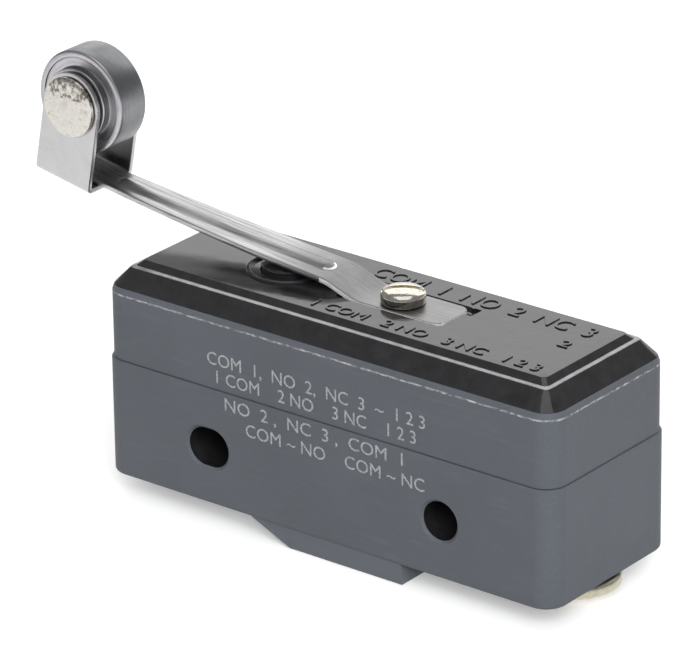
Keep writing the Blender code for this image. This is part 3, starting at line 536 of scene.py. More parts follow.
def ground_phenolic(name, tone):
    """Moulded phenolic, matte from grinding: fine grain, soft clouds, faint scuffs, pale chips, and
    painted light making the faces below the underside lighter.
    """
    nodes = Nodes(name)
    cloud = nodes.noise(9 * MM, detail=3.0)
    grain = nodes.noise(0.16 * MM, detail=3.0, roughness=0.7)
    scuff = nodes.noise(0.5 * MM, detail=5.0, stretch=(0.12, 1.0, 1.0), turn=(0.0, 0.12, 0.0))

    def shade(factor):
        return [factor * c for c in tone]

    base = nodes.ramp(cloud, (0.3, shade(0.92)), (0.7, shade(1.08)))
    speckled = nodes.mix(nodes.ramp(grain, (0.42, 0.0), (0.72, 0.35)), base, shade(1.7))
    scuffed = nodes.mix(nodes.ramp(scuff, (0.55, 0.0), (0.78, 0.22)), speckled, shade(1.9))

    edge_band = 0.11 * MM
    above_wall = nodes.math("SUBTRACT", nodes.height(), up(WALL_TOP - 0.05 * MM))
    near_edge = nodes.math("SUBTRACT", edge_band, nodes.math("ABSOLUTE", above_wall))
    at_edge = nodes.math("MINIMUM", nodes.math("DIVIDE", near_edge, edge_band * 0.5), 1.0)
    ragged = nodes.noise(0.36 * MM, detail=6.0, stretch=(0.6, 0.6, 1.6), roughness=0.78)
    chipped = nodes.math("MULTIPLY", nodes.ramp(ragged, (0.44, 0.0), (0.60, 1.0)), at_edge)
    chipped = nodes.math("MAXIMUM", chipped, 0.0)
    # painted light: the faces below the case's underside, the foot's lower faces, are painted lighter
    below = nodes.math("LESS_THAN", nodes.height(), up(-0.02 * MM))
    foot_painted_light = nodes.mix(nodes.math("MULTIPLY", below, 0.5), scuffed, shade(1.7))
    nodes.colour(nodes.mix(chipped, foot_painted_light, (0.62, 0.60, 0.60)))
    nodes.roughness(nodes.ramp(grain, (0.3, 0.50), (0.75, 0.68)))
    nodes.bump(grain, 0.02 * MM, 0.35)
    nodes.fixed(IOR=1.5)
    return nodes.material


def gloss_phenolic(name):
    """As-moulded black phenolic: glossy, with a slight ripple, fine dust, handling smears and a
    painted highlight along the ridge.
    """
    nodes = Nodes(name)
    ripple = nodes.noise(2.4 * MM, detail=2.0)
    smear = nodes.noise(1.6 * MM, detail=6.0, roughness=0.65)
    dust = nodes.noise(0.11 * MM, detail=2.0, roughness=0.8)
    base = nodes.ramp(smear, (0.35, (0.010, 0.010, 0.011)), (0.75, (0.022, 0.022, 0.024)))
    dusty = nodes.mix(nodes.ramp(dust, (0.70, 0.0), (0.78, 0.5)), base, (0.20, 0.20, 0.21))
    # painted highlight: a pale band at the ridge's height, standing in for the light its edge catches
    ridge_band = 0.05 * MM
    off_ridge = nodes.math("SUBTRACT", nodes.height(), up(RIDGE_HEIGHT))
    near_ridge = nodes.math("LESS_THAN", nodes.math("ABSOLUTE", off_ridge), ridge_band)
    painted_ridge_highlight = nodes.math("MULTIPLY", near_ridge, nodes.ramp(smear, (0.3, 0.4), (0.6, 1.0)))
    nodes.colour(nodes.mix(painted_ridge_highlight, dusty, (0.30, 0.30, 0.31)))
    nodes.roughness(nodes.ramp(smear, (0.3, 0.08), (0.8, 0.20)))
    grit = nodes.noise(0.35 * MM, detail=2.0)
    nodes.bump(nodes.math("ADD", ripple, nodes.math("MULTIPLY", grit, 0.12)), 0.06 * MM, 0.35)
    nodes.fixed(IOR=1.65)
    return nodes.material


def brushed_metal(name, dark, light, feature, stretch, rough, metallic=1.0, bump=0.25):
    """Metal with streaks along one direction, over broad soft patches."""
    nodes = Nodes(name)
    streak = nodes.noise(feature, detail=5.0, stretch=stretch, roughness=0.6)
    patch = nodes.noise(2.6 * MM, detail=3.0)
    streaked = nodes.ramp(streak, (0.32, dark), (0.70, light))
    nodes.colour(nodes.mix(nodes.ramp(patch, (0.35, 0.0), (0.75, 0.4)), streaked, light))
    nodes.roughness(nodes.ramp(streak, (0.3, rough[0]), (0.75, rough[1])))
    nodes.bump(streak, 0.012 * MM, bump)
    nodes.fixed(Metallic=metallic)
    return nodes.material


def spring_steel(name):
    """The lever's strip: brushed along its length, with painted shade darkening it towards its bend
    and over its tail, and a painted highlight ring at the bead's end.
    """
    nodes = Nodes(name)
    streak = nodes.noise(0.20 * MM, detail=5.0, stretch=(0.02, 1.0, 0.3), roughness=0.62)
    patch = nodes.noise(2.6 * MM, detail=3.0)
    bright = nodes.ramp(streak, (0.34, (0.27, 0.27, 0.28)), (0.64, (0.62, 0.61, 0.61)))
    # painted shade: a darker copy of the steel's tone, laid over the strip towards its bend and over
    # its tail
    painted_shade_tone = nodes.ramp(streak, (0.30, (0.185, 0.185, 0.19)), (0.70, (0.245, 0.24, 0.245)))
    painted_shade_reach = 20.0 * MM
    along = nodes.add("ShaderNodeSeparateXYZ", Vector=nodes.place).outputs["X"]
    from_left = nodes.math("SUBTRACT", along, TAIL_END_X - painted_shade_reach)
    share = nodes.math("DIVIDE", from_left, painted_shade_reach)
    wear_and_painted_shade = nodes.ramp(share, (0.04, 0.0), (0.20, 0.7), (0.34, 1.0), (0.55, 1.0), (0.70, 0.85))
    base = nodes.mix(wear_and_painted_shade, bright, painted_shade_tone)
    base = nodes.mix(nodes.ramp(patch, (0.35, 0.0), (0.75, 0.25)), base, bright)

    # painted highlight: a bright ring on the bead's rounded end
    ring_centre = (BEAD_START_X - 1.05 * MM, MID_Y, 0.0)
    ring_radius = 0.80 * MM
    ring_half_width = 0.10 * MM
    from_centre = nodes.vector("DISTANCE", nodes.flattened(), ring_centre)
    off_ring = nodes.math("SUBTRACT", from_centre, ring_radius)
    on_ring = nodes.math("LESS_THAN", nodes.math("ABSOLUTE", off_ring), ring_half_width)
    at_end = nodes.math("GREATER_THAN", along, BEAD_START_X - 0.85 * MM)
    painted_bead_highlight = nodes.math("MULTIPLY", on_ring, at_end)
    nodes.colour(nodes.mix(painted_bead_highlight, base, (0.88, 0.88, 0.86)))
    nodes.roughness(nodes.ramp(streak, (0.3, 0.26), (0.75, 0.42)))
    nodes.bump(streak, 0.012 * MM, 0.3)
    nodes.fixed(Metallic=1.0)
    return nodes.material


def mottled_plating(name, dark, light, tarnish, spread, rough, grime_from=None):
    """Bright plating with patches of tarnish and small pits."""
    nodes = Nodes(name)
    patch = nodes.noise(0.7 * MM, detail=5.0, roughness=0.6)
    pits = nodes.noise(0.13 * MM, detail=2.0, roughness=0.7)
    plated = nodes.ramp(patch, (0.35, dark), (0.62, light))
    aged = nodes.mix(nodes.ramp(patch, (spread, 0.0), (spread + 0.12, 0.85)), plated, tarnish)
    pitted = nodes.mix(nodes.ramp(pits, (0.68, 0.0), (0.78, 0.6)), aged, [0.35 * c for c in dark])
    if grime_from is not None:
        blotch = nodes.noise(0.55 * MM, detail=5.0, roughness=0.7)
        above = nodes.math("GREATER_THAN", nodes.height(), grime_from)
        grime = nodes.math("MULTIPLY", above, nodes.ramp(blotch, (0.47, 0.0), (0.56, 0.9)))
        pitted = nodes.mix(grime, pitted, (0.13, 0.115, 0.09))
    nodes.colour(pitted)
    nodes.roughness(nodes.ramp(patch, (0.3, rough[0]), (0.75, rough[1])))
    nodes.bump(pits, 0.02 * MM, 0.3)
    nodes.fixed(Metallic=1.0)
    return nodes.material


def turned_steel(name, dark, light, wear_and_painted_shade):
    """Roller steel with fine turning rings about the pin, duller in patches."""
    nodes = Nodes(name)
    from_pin = nodes.vector("SUBTRACT", nodes.place, (PIN_X, MID_Y, PIN_Z))
    reach = nodes.vector("LENGTH", nodes.vector("MULTIPLY", from_pin, (1.0, 0.0, 1.0)))
    across = nodes.add("ShaderNodeSeparateXYZ", Vector=nodes.place).outputs["Y"]
    line = nodes.add("ShaderNodeCombineXYZ", X=reach, Y=across)
    rings = nodes.add("ShaderNodeTexNoise", Vector=line.outputs[0])
    rings.inputs["Scale"].default_value = 1.0 / (0.14 * MM)
    rings.inputs["Detail"].default_value = 3.0
    patch = nodes.noise(2.2 * MM, detail=4.0)
    ringed = nodes.ramp(rings.outputs["Fac"], (0.35, dark), (0.68, light))
    share = nodes.ramp(patch, (0.4, 0.0), (0.7, 0.45))
    nodes.colour(nodes.mix(share, ringed, wear_and_painted_shade))
    nodes.roughness(nodes.ramp(patch, (0.3, 0.30), (0.75, 0.46)))
    nodes.bump(rings.outputs["Fac"], 0.008 * MM, 0.25)
    nodes.fixed(Metallic=1.0)
    return nodes.material


def print_ink(name):
    """Pale grey pad-printed ink, slightly broken."""
    nodes = Nodes(name)
    broken = nodes.noise(0.18 * MM, detail=4.0, roughness=0.7)
    nodes.colour(nodes.ramp(broken, (0.36, (0.20, 0.205, 0.21)), (0.56, (0.52, 0.53, 0.54))))
    nodes.roughness(nodes.ramp(broken, (0.3, 0.5), (0.7, 0.65)))
    return nodes.material


def studio_paper(name, glow, far_glow):
    """Pale seamless paper that keeps itself bright, more so away from the object."""
    nodes = Nodes(name)
    mottle = nodes.noise(60 * MM, detail=2.0)
    nodes.colour(nodes.ramp(mottle, (0.3, 0.86), (0.7, 0.88)))
    nodes.roughness(nodes.ramp(mottle, (0.3, 0.8), (0.7, 0.85)))
    away = nodes.vector("LENGTH", nodes.flattened())
    glowing = nodes.ramp(away, (0.16, glow), (0.40, far_glow))
    nodes.feed(nodes.shader.inputs["Emission Strength"], glowing)
    nodes.fixed(Emission_Color=(1.0, 1.0, 1.0, 1.0))
    return nodes.material


MATTE = ground_phenolic("ground_phenolic", (0.094, 0.104, 0.120))
GLOSS = gloss_phenolic("gloss_phenolic")
PIN_BLACK = gloss_phenolic("plunger_black")
STRIP_STEEL = spring_steel("strip_steel")
EAR_STEEL = brushed_metal(
    "ear_steel", grey(0.47), grey(0.54), 0.5 * MM, (0.3, 1.0, 0.3), (0.26, 0.36), 1.0, 0.1
)
RIVET_METAL = mottled_plating(
    "rivet_metal", (0.52, 0.50, 0.47), (0.68, 0.65, 0.61), (0.36, 0.34, 0.27), 0.55, (0.16, 0.36),
    grime_from=GRIME_FROM,
)
NICKEL = mottled_plating(
    "nickel", (0.62, 0.58, 0.50), (0.84, 0.81, 0.72), (0.30, 0.23, 0.12), 0.58, (0.07, 0.18)
)
# pale steel for the strip's cut edges at its bend and tail, made bright as a painted highlight
EDGE_HIGHLIGHT_STEEL = brushed_metal(
    "sheared_steel_painted_highlight", grey(0.60), (0.86, 0.86, 0.85), 0.3 * MM, (0.3, 1.0, 1.0), (0.4, 0.55), 0.3
)
ROLLER_RIM = turned_steel("roller_rim", (0.20, 0.205, 0.215), (0.27, 0.275, 0.28), (0.15, 0.155, 0.16))
ROLLER_SIDE = turned_steel("roller_side", (0.42, 0.41, 0.43), (0.66, 0.65, 0.68), (0.34, 0.32, 0.36))
WASHER_PLATE = mottled_plating(
    "washer_plate", (0.50, 0.47, 0.36), (0.64, 0.61, 0.49), (0.38, 0.32, 0.14), 0.60, (0.38, 0.55)
)
BRASS = mottled_plating(
    "brass", (0.55, 0.40, 0.16), (0.72, 0.55, 0.26), (0.28, 0.18, 0.07), 0.62, (0.22, 0.42)
)
SILVER = mottled_plating(
    "silver", (0.70, 0.69, 0.67), (0.86, 0.85, 0.83), (0.30, 0.27, 0.24), 0.66, (0.16, 0.34)
)
COPPER = brushed_metal(
    "copper", (0.50, 0.26, 0.15), (0.72, 0.42, 0.27), 0.2 * MM, (0.05, 1.0, 1.0), (0.22, 0.4)
)
INK = print_ink("print_ink")


# --- case and cover


def body_shell(name, outline, step=0.0):
    """A solid with the body's rounded corners, which follows an (inset, height) outline up."""
    rings = []
    for inset, height in outline:
        radius = max(CORNER_RADIUS - inset, SMALLEST_CORNER)
        half_x = HALF_LENGTH - step - inset
        half_y = HALF_DEPTH - step - inset
        rings.append(rounded_rectangle(half_x, half_y, radius, up(height)))
    return lofted(name, rings)


def cavity(low, high):
    """A cutter for the hollow inside, between two heights."""
    half_x, half_y = CAVITY_HALF
    lowest = (-half_x, MID_Y - half_y, up(low))
    highest = (half_x, MID_Y + half_y, up(high))
    return block("room", lowest, highest, CAVITY_CORNER)


def mounting_hole(x, stretch):
    """A cutter through the body with a chamfer at both mouths, pulled out sideways for a slot."""
    mouth = HALF_DEPTH + HOLE_CHAMFER
    side = [
        (0.0, mouth),
        (HOLE_RADIUS + 2 * HOLE_CHAMFER, mouth),
        (HOLE_RADIUS, HALF_DEPTH - HOLE_CHAMFER),
    ]
    profile = side + [(radius, -along) for radius, along in reversed(side)]
    hole = turned("hole", profile, (x, MID_Y, up(HOLE_HEIGHT)), "Y")
    for vert in hole.data.vertices:
        offset = vert.co.x - x
        if abs(offset) > HOLE_CHAMFER / 4:
            vert.co.x += math.copysign(stretch / 2, offset)
    return hole


def in_mounting_hole(spot, _):
    """1 for a face on the wall of a mounting hole, which stays as moulded, or else 0."""
    from_hole = math.hypot(abs(spot.x) - HOLE_REACH, spot.z - up(HOLE_HEIGHT))
    inside = abs(spot.y - MID_Y) < HALF_DEPTH - HOLE_CHAMFER * 1.1
    return 1 if inside and from_hole < HOLE_RADIUS + SLOT_STRETCH / 2 + 0.1 * MM else 0


def build_case():
    """The matte lower half with its foot, mounting holes and terminal recesses."""
    top = SPLIT_HEIGHT - SPLIT_GAP
    corners = [(1.2 * MM, 0.0), (0.0, 0.0), (0.0, top), (1.2 * MM, top)]
    outline = fillet(corners, (0.0, 0.35 * MM, EDGE, 0.0), steps=4)
    case = body_shell("case_shell", outline)

    foot_outline = [
        (FOOT_SLOPE_TOP_X - OVERSHOOT, OVERSHOOT),
        (FOOT_SLOPE_TOP_X, 0.0),
        (FOOT_LEFT_X, -FOOT_DROP),
        (FOOT_RIGHT_X, -FOOT_DROP),
        (FOOT_RIGHT_X, OVERSHOOT),
    ]
    foot_outline = fillet(
        foot_outline, (0.0, 0.3 * MM, 0.2 * MM, 0.15 * MM, 0.0), steps=3, closed=True
    )
    half = HALF_DEPTH - FOOT_STEP
    rings = []
    for side, inset in ((-half, EDGE), (-half + EDGE, 0.0), (half - EDGE, 0.0), (half, EDGE)):
        ring = []
        for x, height in foot_outline:
            lean = 1.0 + FOOT_TAPER * min(height, 0.0) / FOOT_DROP / half
            lift = inset if height < -FOOT_DROP * 0.9 else 0.0
            ring.append((x, MID_Y + side * lean, up(height + lift)))
        rings.append(ring)
    join(case, lofted("foot", rings))

    cut(case, cavity(CAVITY_FLOOR, SPLIT_HEIGHT + OVERSHOOT))
    for name in TERMINALS:
        low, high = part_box(f"{name}_terminal_screw")
        spot = ((low.x + high.x) / 2, MID_Y, UNDERSIDE)
        below = -FOOT_DROP - OVERSHOOT
        shaft = cylinder("shaft", spot, SHAFT_RADIUS, below, CAVITY_FLOOR + OVERSHOOT)
        seat = cylinder("seat", spot, SEAT_RADIUS, below, SEAT_TOP)
        cut(case, shaft, seat)
        if name == "no":
            cut(case, cylinder("recess", spot, WASHER_RADIUS + RECESS_GAP, below, 0.0))
    cut(case, mounting_hole(HOLE_REACH, 0.0), mounting_hole(-HOLE_REACH, SLOT_STRETCH))
    finish_piece(case, "base", None, ["case"])
    return paint_faces(case, (MATTE, GLOSS), in_mounting_hole)


def build_cover():
    """The upper half: matte wall, glossy chamfer, ridge and top, plunger ring and lever pocket."""
    points = [(1.2 * MM, COVER_PROFILE[0][1])]
    points += [(inset, height) for inset, height, _ in COVER_PROFILE]
    points += [(3.6 * MM, BODY_HEIGHT)]
    radii = [0.0, *[radius for _, _, radius in COVER_PROFILE], 0.0]
    cover = body_shell("cover_shell", fillet(points, radii, steps=3), COVER_STEP)

    ring_spot = (PLUNGER_X, MID_Y, up(BODY_HEIGHT))
    inner, outer, foot = RING_INNER_RADIUS, RING_OUTER_RADIUS, -0.4 * MM
    rim = [(inner, foot), (inner, RING_RISE), (outer, RING_RISE), (outer, foot)]
    rim = fillet(rim, (0.0, 0.12 * MM, 0.18 * MM, 0.0), steps=4)
    join(cover, turned("ring", rim, ring_spot))
    low, mid = -0.05 * MM, 0.05 * MM
    dish = [(0.0, low), (inner - 0.1 * MM, low), (inner, mid), (inner, OVERSHOOT), (0.0, OVERSHOOT)]
    cut(cover, turned("dish", dish, ring_spot))

    cut(cover, cavity(SPLIT_HEIGHT - OVERSHOOT, ROOF_UNDERSIDE))
    screw_spot = (SCREW_X, MID_Y, UNDERSIDE)
    join(cover, cylinder("boss", screw_spot, BOSS_RADIUS, BOSS_BOTTOM, ROOF_UNDERSIDE + OVERSHOOT))
    pocket_low = (POCKET_LEFT_X, MID_Y - POCKET_HALF_WIDTH, up(POCKET_FLOOR))
    above = BODY_HEIGHT + OVERSHOOT
    pocket_high = (POCKET_RIGHT_X, MID_Y + POCKET_HALF_WIDTH, up(above))
    cut(cover, block("pocket", pocket_low, pocket_high, POCKET_CORNER))
    notch_left = POCKET_RIGHT_X - 0.1 * MM
    notch_low = (notch_left, MID_Y + NOTCH_FRONT, up(POCKET_FLOOR - NOTCH_DROP))
    notch_high = (NOTCH_RIGHT_X, MID_Y + POCKET_HALF_WIDTH, up(above))
    cut(cover, block("notch", notch_low, notch_high, 0.15 * MM))
    insert_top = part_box("lever_screw_insert")[1].z - UNDERSIDE + FIT_GAP
    insert_from = BOSS_BOTTOM - OVERSHOOT
    shank_room = SCREW_SHANK_RADIUS + FIT_GAP
    pin_spot = (PLUNGER_X, MID_Y, UNDERSIDE)
    pin_room = PLUNGER_RADIUS + RUNNING_GAP
    cut(
        cover,
        cylinder("insert_room", screw_spot, INSERT_ROOM_RADIUS, insert_from, insert_top),
        cylinder("screw_room", screw_spot, shank_room, insert_top - OVERSHOOT, BODY_HEIGHT),
        cylinder("plunger_room", pin_spot, pin_room, ROOF_UNDERSIDE - OVERSHOOT, above),
    )
    finish_piece(cover, "base", None, ["cover"])
    return paint_faces(cover, (MATTE, GLOSS), lambda spot, _: int(spot.z > up(GLOSS_FROM)))


# --- plunger and lever screw


def build_plunger():
    """The black pin with a rounded rim, its flange inside, and its tip over the blade."""
    dome = [
        (0.0, PLUNGER_TOP),
        (0.9 * MM, PLUNGER_TOP - 0.05 * MM),
        (1.55 * MM, PLUNGER_TOP - 0.22 * MM),
        (PLUNGER_RADIUS, PLUNGER_RIM),
    ]
    flange_top = ROOF_UNDERSIDE - 0.2 * MM
    flange_bottom = flange_top - 1.0 * MM
    tip = PLUNGER_LOW.z - UNDERSIDE
    tip_radius = 1.2 * MM
    points = [
        *dome,
        (PLUNGER_RADIUS, flange_top),
        (PLUNGER_FLANGE_RADIUS, flange_top),
        (PLUNGER_FLANGE_RADIUS, flange_bottom),
        (tip_radius, flange_bottom),
        (tip_radius, tip),
        (0.0, tip),
    ]
    radii = (0.0, 0.8 * MM, 0.8 * MM, 0.25 * MM, 0.1 * MM, EDGE, EDGE, 0.1 * MM, 0.4 * MM, 0.0)
    profile = fillet(points, radii, steps=4)
    plunger = turned("plunger_pin", profile, (PLUNGER_X, MID_Y, UNDERSIDE))
    return finish_piece(plunger, "plunger", PIN_BLACK, ["plunger"])


def build_lever_screw():
    """A domed, slotted head with a rolled rim, on its shank."""
    seat = TAIL_HEIGHT + THICKNESS / 2 + 0.05 * MM
    rim = SCREW_RIM_RISE
    steps = 8
    dome = []
    for step in range(steps):
        angle = math.pi / 2 * (1 - step / steps)
        rise = rim + (SCREW_HEAD_RISE - rim) * math.sin(angle)
        dome.append((SCREW_HEAD_RADIUS * math.cos(angle), rise))
    dome[0] = (0.0, SCREW_HEAD_RISE)
    low = SCREW_LOW.z - up(seat)
    wide, thin = SCREW_HEAD_RADIUS, SCREW_SHANK_RADIUS
    lower = [dome[-1], (wide, rim), (wide, 0.0), (thin, 0.0), (thin, low), (0.0, low)]
    lower = fillet(lower, (0.0, 0.1 * MM, 0.1 * MM, 0.0, 0.2 * MM, 0.0), steps=3)
    screw = turned("lever_screw_domed", dome + lower[1:], (SCREW_X, MID_Y, up(seat)))
    top = up(seat + SCREW_HEAD_RISE)
    reach = SCREW_HEAD_RADIUS + OVERSHOOT
    slot_low = (SCREW_X - reach, MID_Y - SLOT_HALF_WIDTH, top - SLOT_DEPTH)
    slot_high = (SCREW_X + reach, MID_Y + SLOT_HALF_WIDTH, top + OVERSHOOT)
    slot = block("slot", slot_low, slot_high, 0.06 * MM, 2)
    turn_about(slot, (SCREW_X, MID_Y), SLOT_TURN)
    cut(screw, slot)
    return finish_piece(screw, "base", NICKEL, ["lever_screw"])


def turn_about(obj, centre, angle):
    """Turns a mesh about an upright line through centre."""
    place = Matrix.Translation((centre[0], centre[1], 0.0))
    obj.data.transform(place @ Matrix.Rotation(angle, 4, "Z") @ place.inverted())


# --- lever


def strip_height(x):
    """The height of the middle of the lever's strip at x, its two bends eased."""
    run = BEND_HEAD_X - max(x, SEAT_X)
    ramp_slope = (BEND_HEAD_HEIGHT - TAIL_HEIGHT) / (BEND_FOOT_X - BEND_HEAD_X)
    rising = TAIL_HEIGHT + ramp_slope * (BEND_FOOT_X - x)
    arm = BEND_HEAD_HEIGHT + ARM_SLOPE * run + ARM_CURVE * run * abs(run)
    arm += max(SEAT_X - x, 0.0) * math.tan(FORK_TILT)
    first = soft_max(TAIL_HEIGHT, rising)
    return -soft_max(-first, -arm) if x < BEND_FOOT_X - BEND_EASE else first


def soft_max(one, two):
    """The larger of two heights, rounded off where they cross."""
    ease = 0.07 * MM
    return (one + two + math.sqrt((one - two) ** 2 + 4 * ease * ease)) / 2


def strip_half_width(x):
    """Half the strip's width at x, with its taper and its round corners at both ends."""
    width = STRIP_HALF_WIDTH
    if x < TAPER_START_X:
        share = min((TAPER_START_X - x) / (TAPER_START_X - TAPER_END_X), 1.0)
        width += share * (STRIP_TIP_HALF_WIDTH - STRIP_HALF_WIDTH)
    into_corner = max(x - (TAIL_END_X - TAIL_CORNER), ARM_END_X + TAIL_CORNER - x)
    if into_corner > 0:
        width -= TAIL_CORNER - math.sqrt(max(TAIL_CORNER**2 - into_corner**2, 0.0))
    return width


def bead_share(x):
    """How much of the stiffening bead's full rise stands at x, from 0 to 1."""
    inside = min(BEAD_START_X - x, x - BEAD_END_X) / BEAD_RAMP
    inside = min(max(inside, 0.0), 1.0)
    return inside * inside * (3 - 2 * inside)


def bead_rise(x, y):
    """The bead's height at x, a distance y from the strip's middle line."""
    share = bead_share(x)
    half = BEAD_HALF_WIDTH * (0.45 + 0.55 * share)
    if share <= 0 or abs(y) >= half:
        return 0.0
    return BEAD_RISE * share * (0.5 + 0.5 * math.cos(math.pi * y / half)) ** 0.8


def strip_section(x, columns=28):
    """The closed cross-section of the strip at x: top from front to rear, then back underneath."""
    half = strip_half_width(x)
    middle = strip_height(x)
    edge = 0.09 * MM
    flat = THICKNESS / 2
    reach = half - edge
    across = [-reach + 2 * reach * column / columns for column in range(columns + 1)]
    top = [(y, flat + bead_rise(x, y)) for y in across]
    bottom = [(y, bead_rise(x, y) - flat) for y in reversed(across)]
    upper = []
    for step in (1, 2, 3):
        angle = math.pi / 6 * step
        upper.append((reach + edge * math.sin(angle), flat - edge * (1 - math.cos(angle))))
    rear = upper + [(y, -rise) for y, rise in reversed(upper)]
    front = [(-y, rise) for y, rise in reversed(rear)]
    return [(x, MID_Y + y, up(middle + rise)) for y, rise in top + rear + bottom + front]


def strip_stations():
    """x places from the tail's end to the fork, closer together where the shape changes."""
    places = [TAIL_END_X - 0.02 * MM]
    for step in range(1, 8):
        inward = TAIL_CORNER * (1 - math.cos(math.pi / 2 * step / 8))
        places += [TAIL_END_X - inward, ARM_END_X + inward]
    x = TAIL_END_X - TAIL_CORNER
    while x > ARM_END_X + TAIL_CORNER:
        places.append(x)
        fine = x > BEAD_START_X - 2 * MM or x < BEAD_END_X + 2 * MM
        x -= 0.15 * MM if fine else 0.5 * MM
    places.append(ARM_END_X + 0.02 * MM)
    return sorted(set(places), reverse=True)


def fork_spot(along, rise, y):
    """A point in the fork's own tilted frame, whose origin is the pin, in the row frame."""
    x = PIN_X + along * math.cos(FORK_TILT) + rise * math.sin(FORK_TILT)
    z = PIN_Z - along * math.sin(FORK_TILT) + rise * math.cos(FORK_TILT)
    return Vector((x, MID_Y + y, z))


def bracket_line(ear_top):
    """(y, rise) along the bent sheet from the front ear's top, round the web, to the rear ear's."""
    flat = FORK_HALF_WIDTH - EAR_THICKNESS / 2
    web = -EAR_DROP + EAR_THICKNESS / 2
    ear_steps = 8
    bend_steps = 6
    web_steps = 6
    bend_top = web + EAR_BEND
    half = []
    for step in range(ear_steps + 1):
        half.append((-flat, ear_top + (bend_top - ear_top) * step / ear_steps))
    for step in range(1, bend_steps + 1):
        angle = math.pi / 2 * step / bend_steps
        y = -flat + EAR_BEND * (1 - math.cos(angle))
        half.append((y, web + EAR_BEND * (1 - math.sin(angle))))
    web_half = -half[-1][0]
    middle = [(-web_half + 2 * web_half * step / web_steps, web) for step in range(1, web_steps)]
    return half + middle + [(-y, rise) for y, rise in reversed(half)]


def build_bracket():
    """One sheet folded into a U under the strip's end, its ears round about the pin."""
    columns = 28
    shape = bmesh.new()
    grid = []
    for column in range(columns + 1):
        turn = math.pi * column / columns
        along = -EAR_RADIUS * math.cos(turn)
        line = bracket_line(EAR_RADIUS * math.sin(turn))
        grid.append([shape.verts.new(fork_spot(along, rise, y)) for y, rise in line])
    for one, two in zip(grid, grid[1:]):
        for index in range(len(one) - 1):
            shape.faces.new((one[index], one[index + 1], two[index + 1], two[index]))
    bracket = new_object("bracket", shape)
    skin = bracket.modifiers.new("thickness", "SOLIDIFY")
    skin.thickness = EAR_THICKNESS
    skin.offset = 0.0
    skin.use_even_offset = True
    round_off = bracket.modifiers.new("edges", "BEVEL")
    round_off.width = 0.07 * MM
    round_off.segments = 2
    round_off.limit_method = "ANGLE"
    round_off.angle_limit = math.radians(50)
    apply_modifiers(bracket)
    span = FORK_HALF_WIDTH + OVERSHOOT
    hole_radius = PIN_RADIUS + RUNNING_GAP
    cut(bracket, cylinder("pin_room", (PIN_X, MID_Y, PIN_Z), hole_radius, -span, span, "Y", 48))
    return finish_piece(bracket, "lever", EAR_STEEL, ["roller_bracket"])


def on_highlighted_edge(spot, normal):
    """1 for the strip's cut edges from its bend to its tail, which are painted bright as a highlight,
    or else 0.
    """
    return int(spot.x > BEND_HEAD_X - 0.6 * MM and abs(normal.z) < 0.5)


def build_lever():
    """One continuous strip from its clamped tail to the bracket, built as one fixed mesh; the real
    strip flexes between them.
    """
    lever = lofted("lever", [strip_section(x) for x in strip_stations()])
    span = (TAIL_HEIGHT - OVERSHOOT, TAIL_HEIGHT + OVERSHOOT)
    shank_room = SCREW_SHANK_RADIUS + FIT_GAP
    cut(lever, cylinder("screw_room", (SCREW_X, MID_Y, UNDERSIDE), shank_room, *span))
    smooth(lever)
    paint_faces(lever, (STRIP_STEEL, EDGE_HIGHLIGHT_STEEL), on_highlighted_edge)
    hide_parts("lever_tail", "lever_arm")
    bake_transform(lever)
    return lever


# --- roller and its pin


def build_roller():
    """A wide rim with eased edges, a groove in each side, and raised hubs."""
    half = ROLLER_HALF_WIDTH
    hub = half + HUB_RISE
    groove_radius = 4.15 * MM
    groove = half - 0.2 * MM
    bore = PIN_RADIUS + RUNNING_GAP
    points = [
        (bore, 0.0),
        (bore, hub),
        (HUB_RADIUS, hub),
        (HUB_RADIUS, groove),
        (groove_radius, groove),
        (groove_radius, half),
        (ROLLER_RADIUS, half),
        (ROLLER_RADIUS, 0.0),
    ]
    radii = (0.0, 0.05 * MM, 0.12 * MM, 0.08 * MM, 0.08 * MM, 0.1 * MM, 0.28 * MM, 0.0)
    side = fillet(points, radii, steps=4)
    profile = side[:-1] + [(radius, -along) for radius, along in reversed(side[1:])]
    roller = turned("roller_wheel", profile, (PIN_X, MID_Y, PIN_Z), "Y", 96)
    finish_piece(roller, "roller", None, ["roller"])
    return paint_faces(roller, (ROLLER_RIM, ROLLER_SIDE), lambda _, normal: int(abs(normal.y) > 0.5))


def build_roller_pin():
    """A rivet with a shallow domed head, rolled at its rim, outside each ear."""
    inner = FORK_HALF_WIDTH + 0.1 * MM
    rim = 0.17 * MM
    steps = 7
    side = [(0.0, inner + PIN_HEAD_RISE)]
    for step in range(1, steps):
        angle = math.pi / 2 * (1 - step / steps)
        rise = inner + rim + (PIN_HEAD_RISE - rim) * math.sin(angle) ** 0.8
        side.append((PIN_HEAD_RADIUS * math.cos(angle), rise))
    side += fillet(
        [(PIN_HEAD_RADIUS, inner + rim), (PIN_HEAD_RADIUS, inner), (PIN_RADIUS, inner)],
        (0.0, 0.06 * MM, 0.0),
        steps=3,
    )
    profile = side + [(radius, -along) for radius, along in reversed(side)]
    pin = turned("roller_rivet", profile, (PIN_X, MID_Y, PIN_Z), "Y")
    return finish_piece(pin, "lever", RIVET_METAL, ["roller_pin"])


# --- terminals


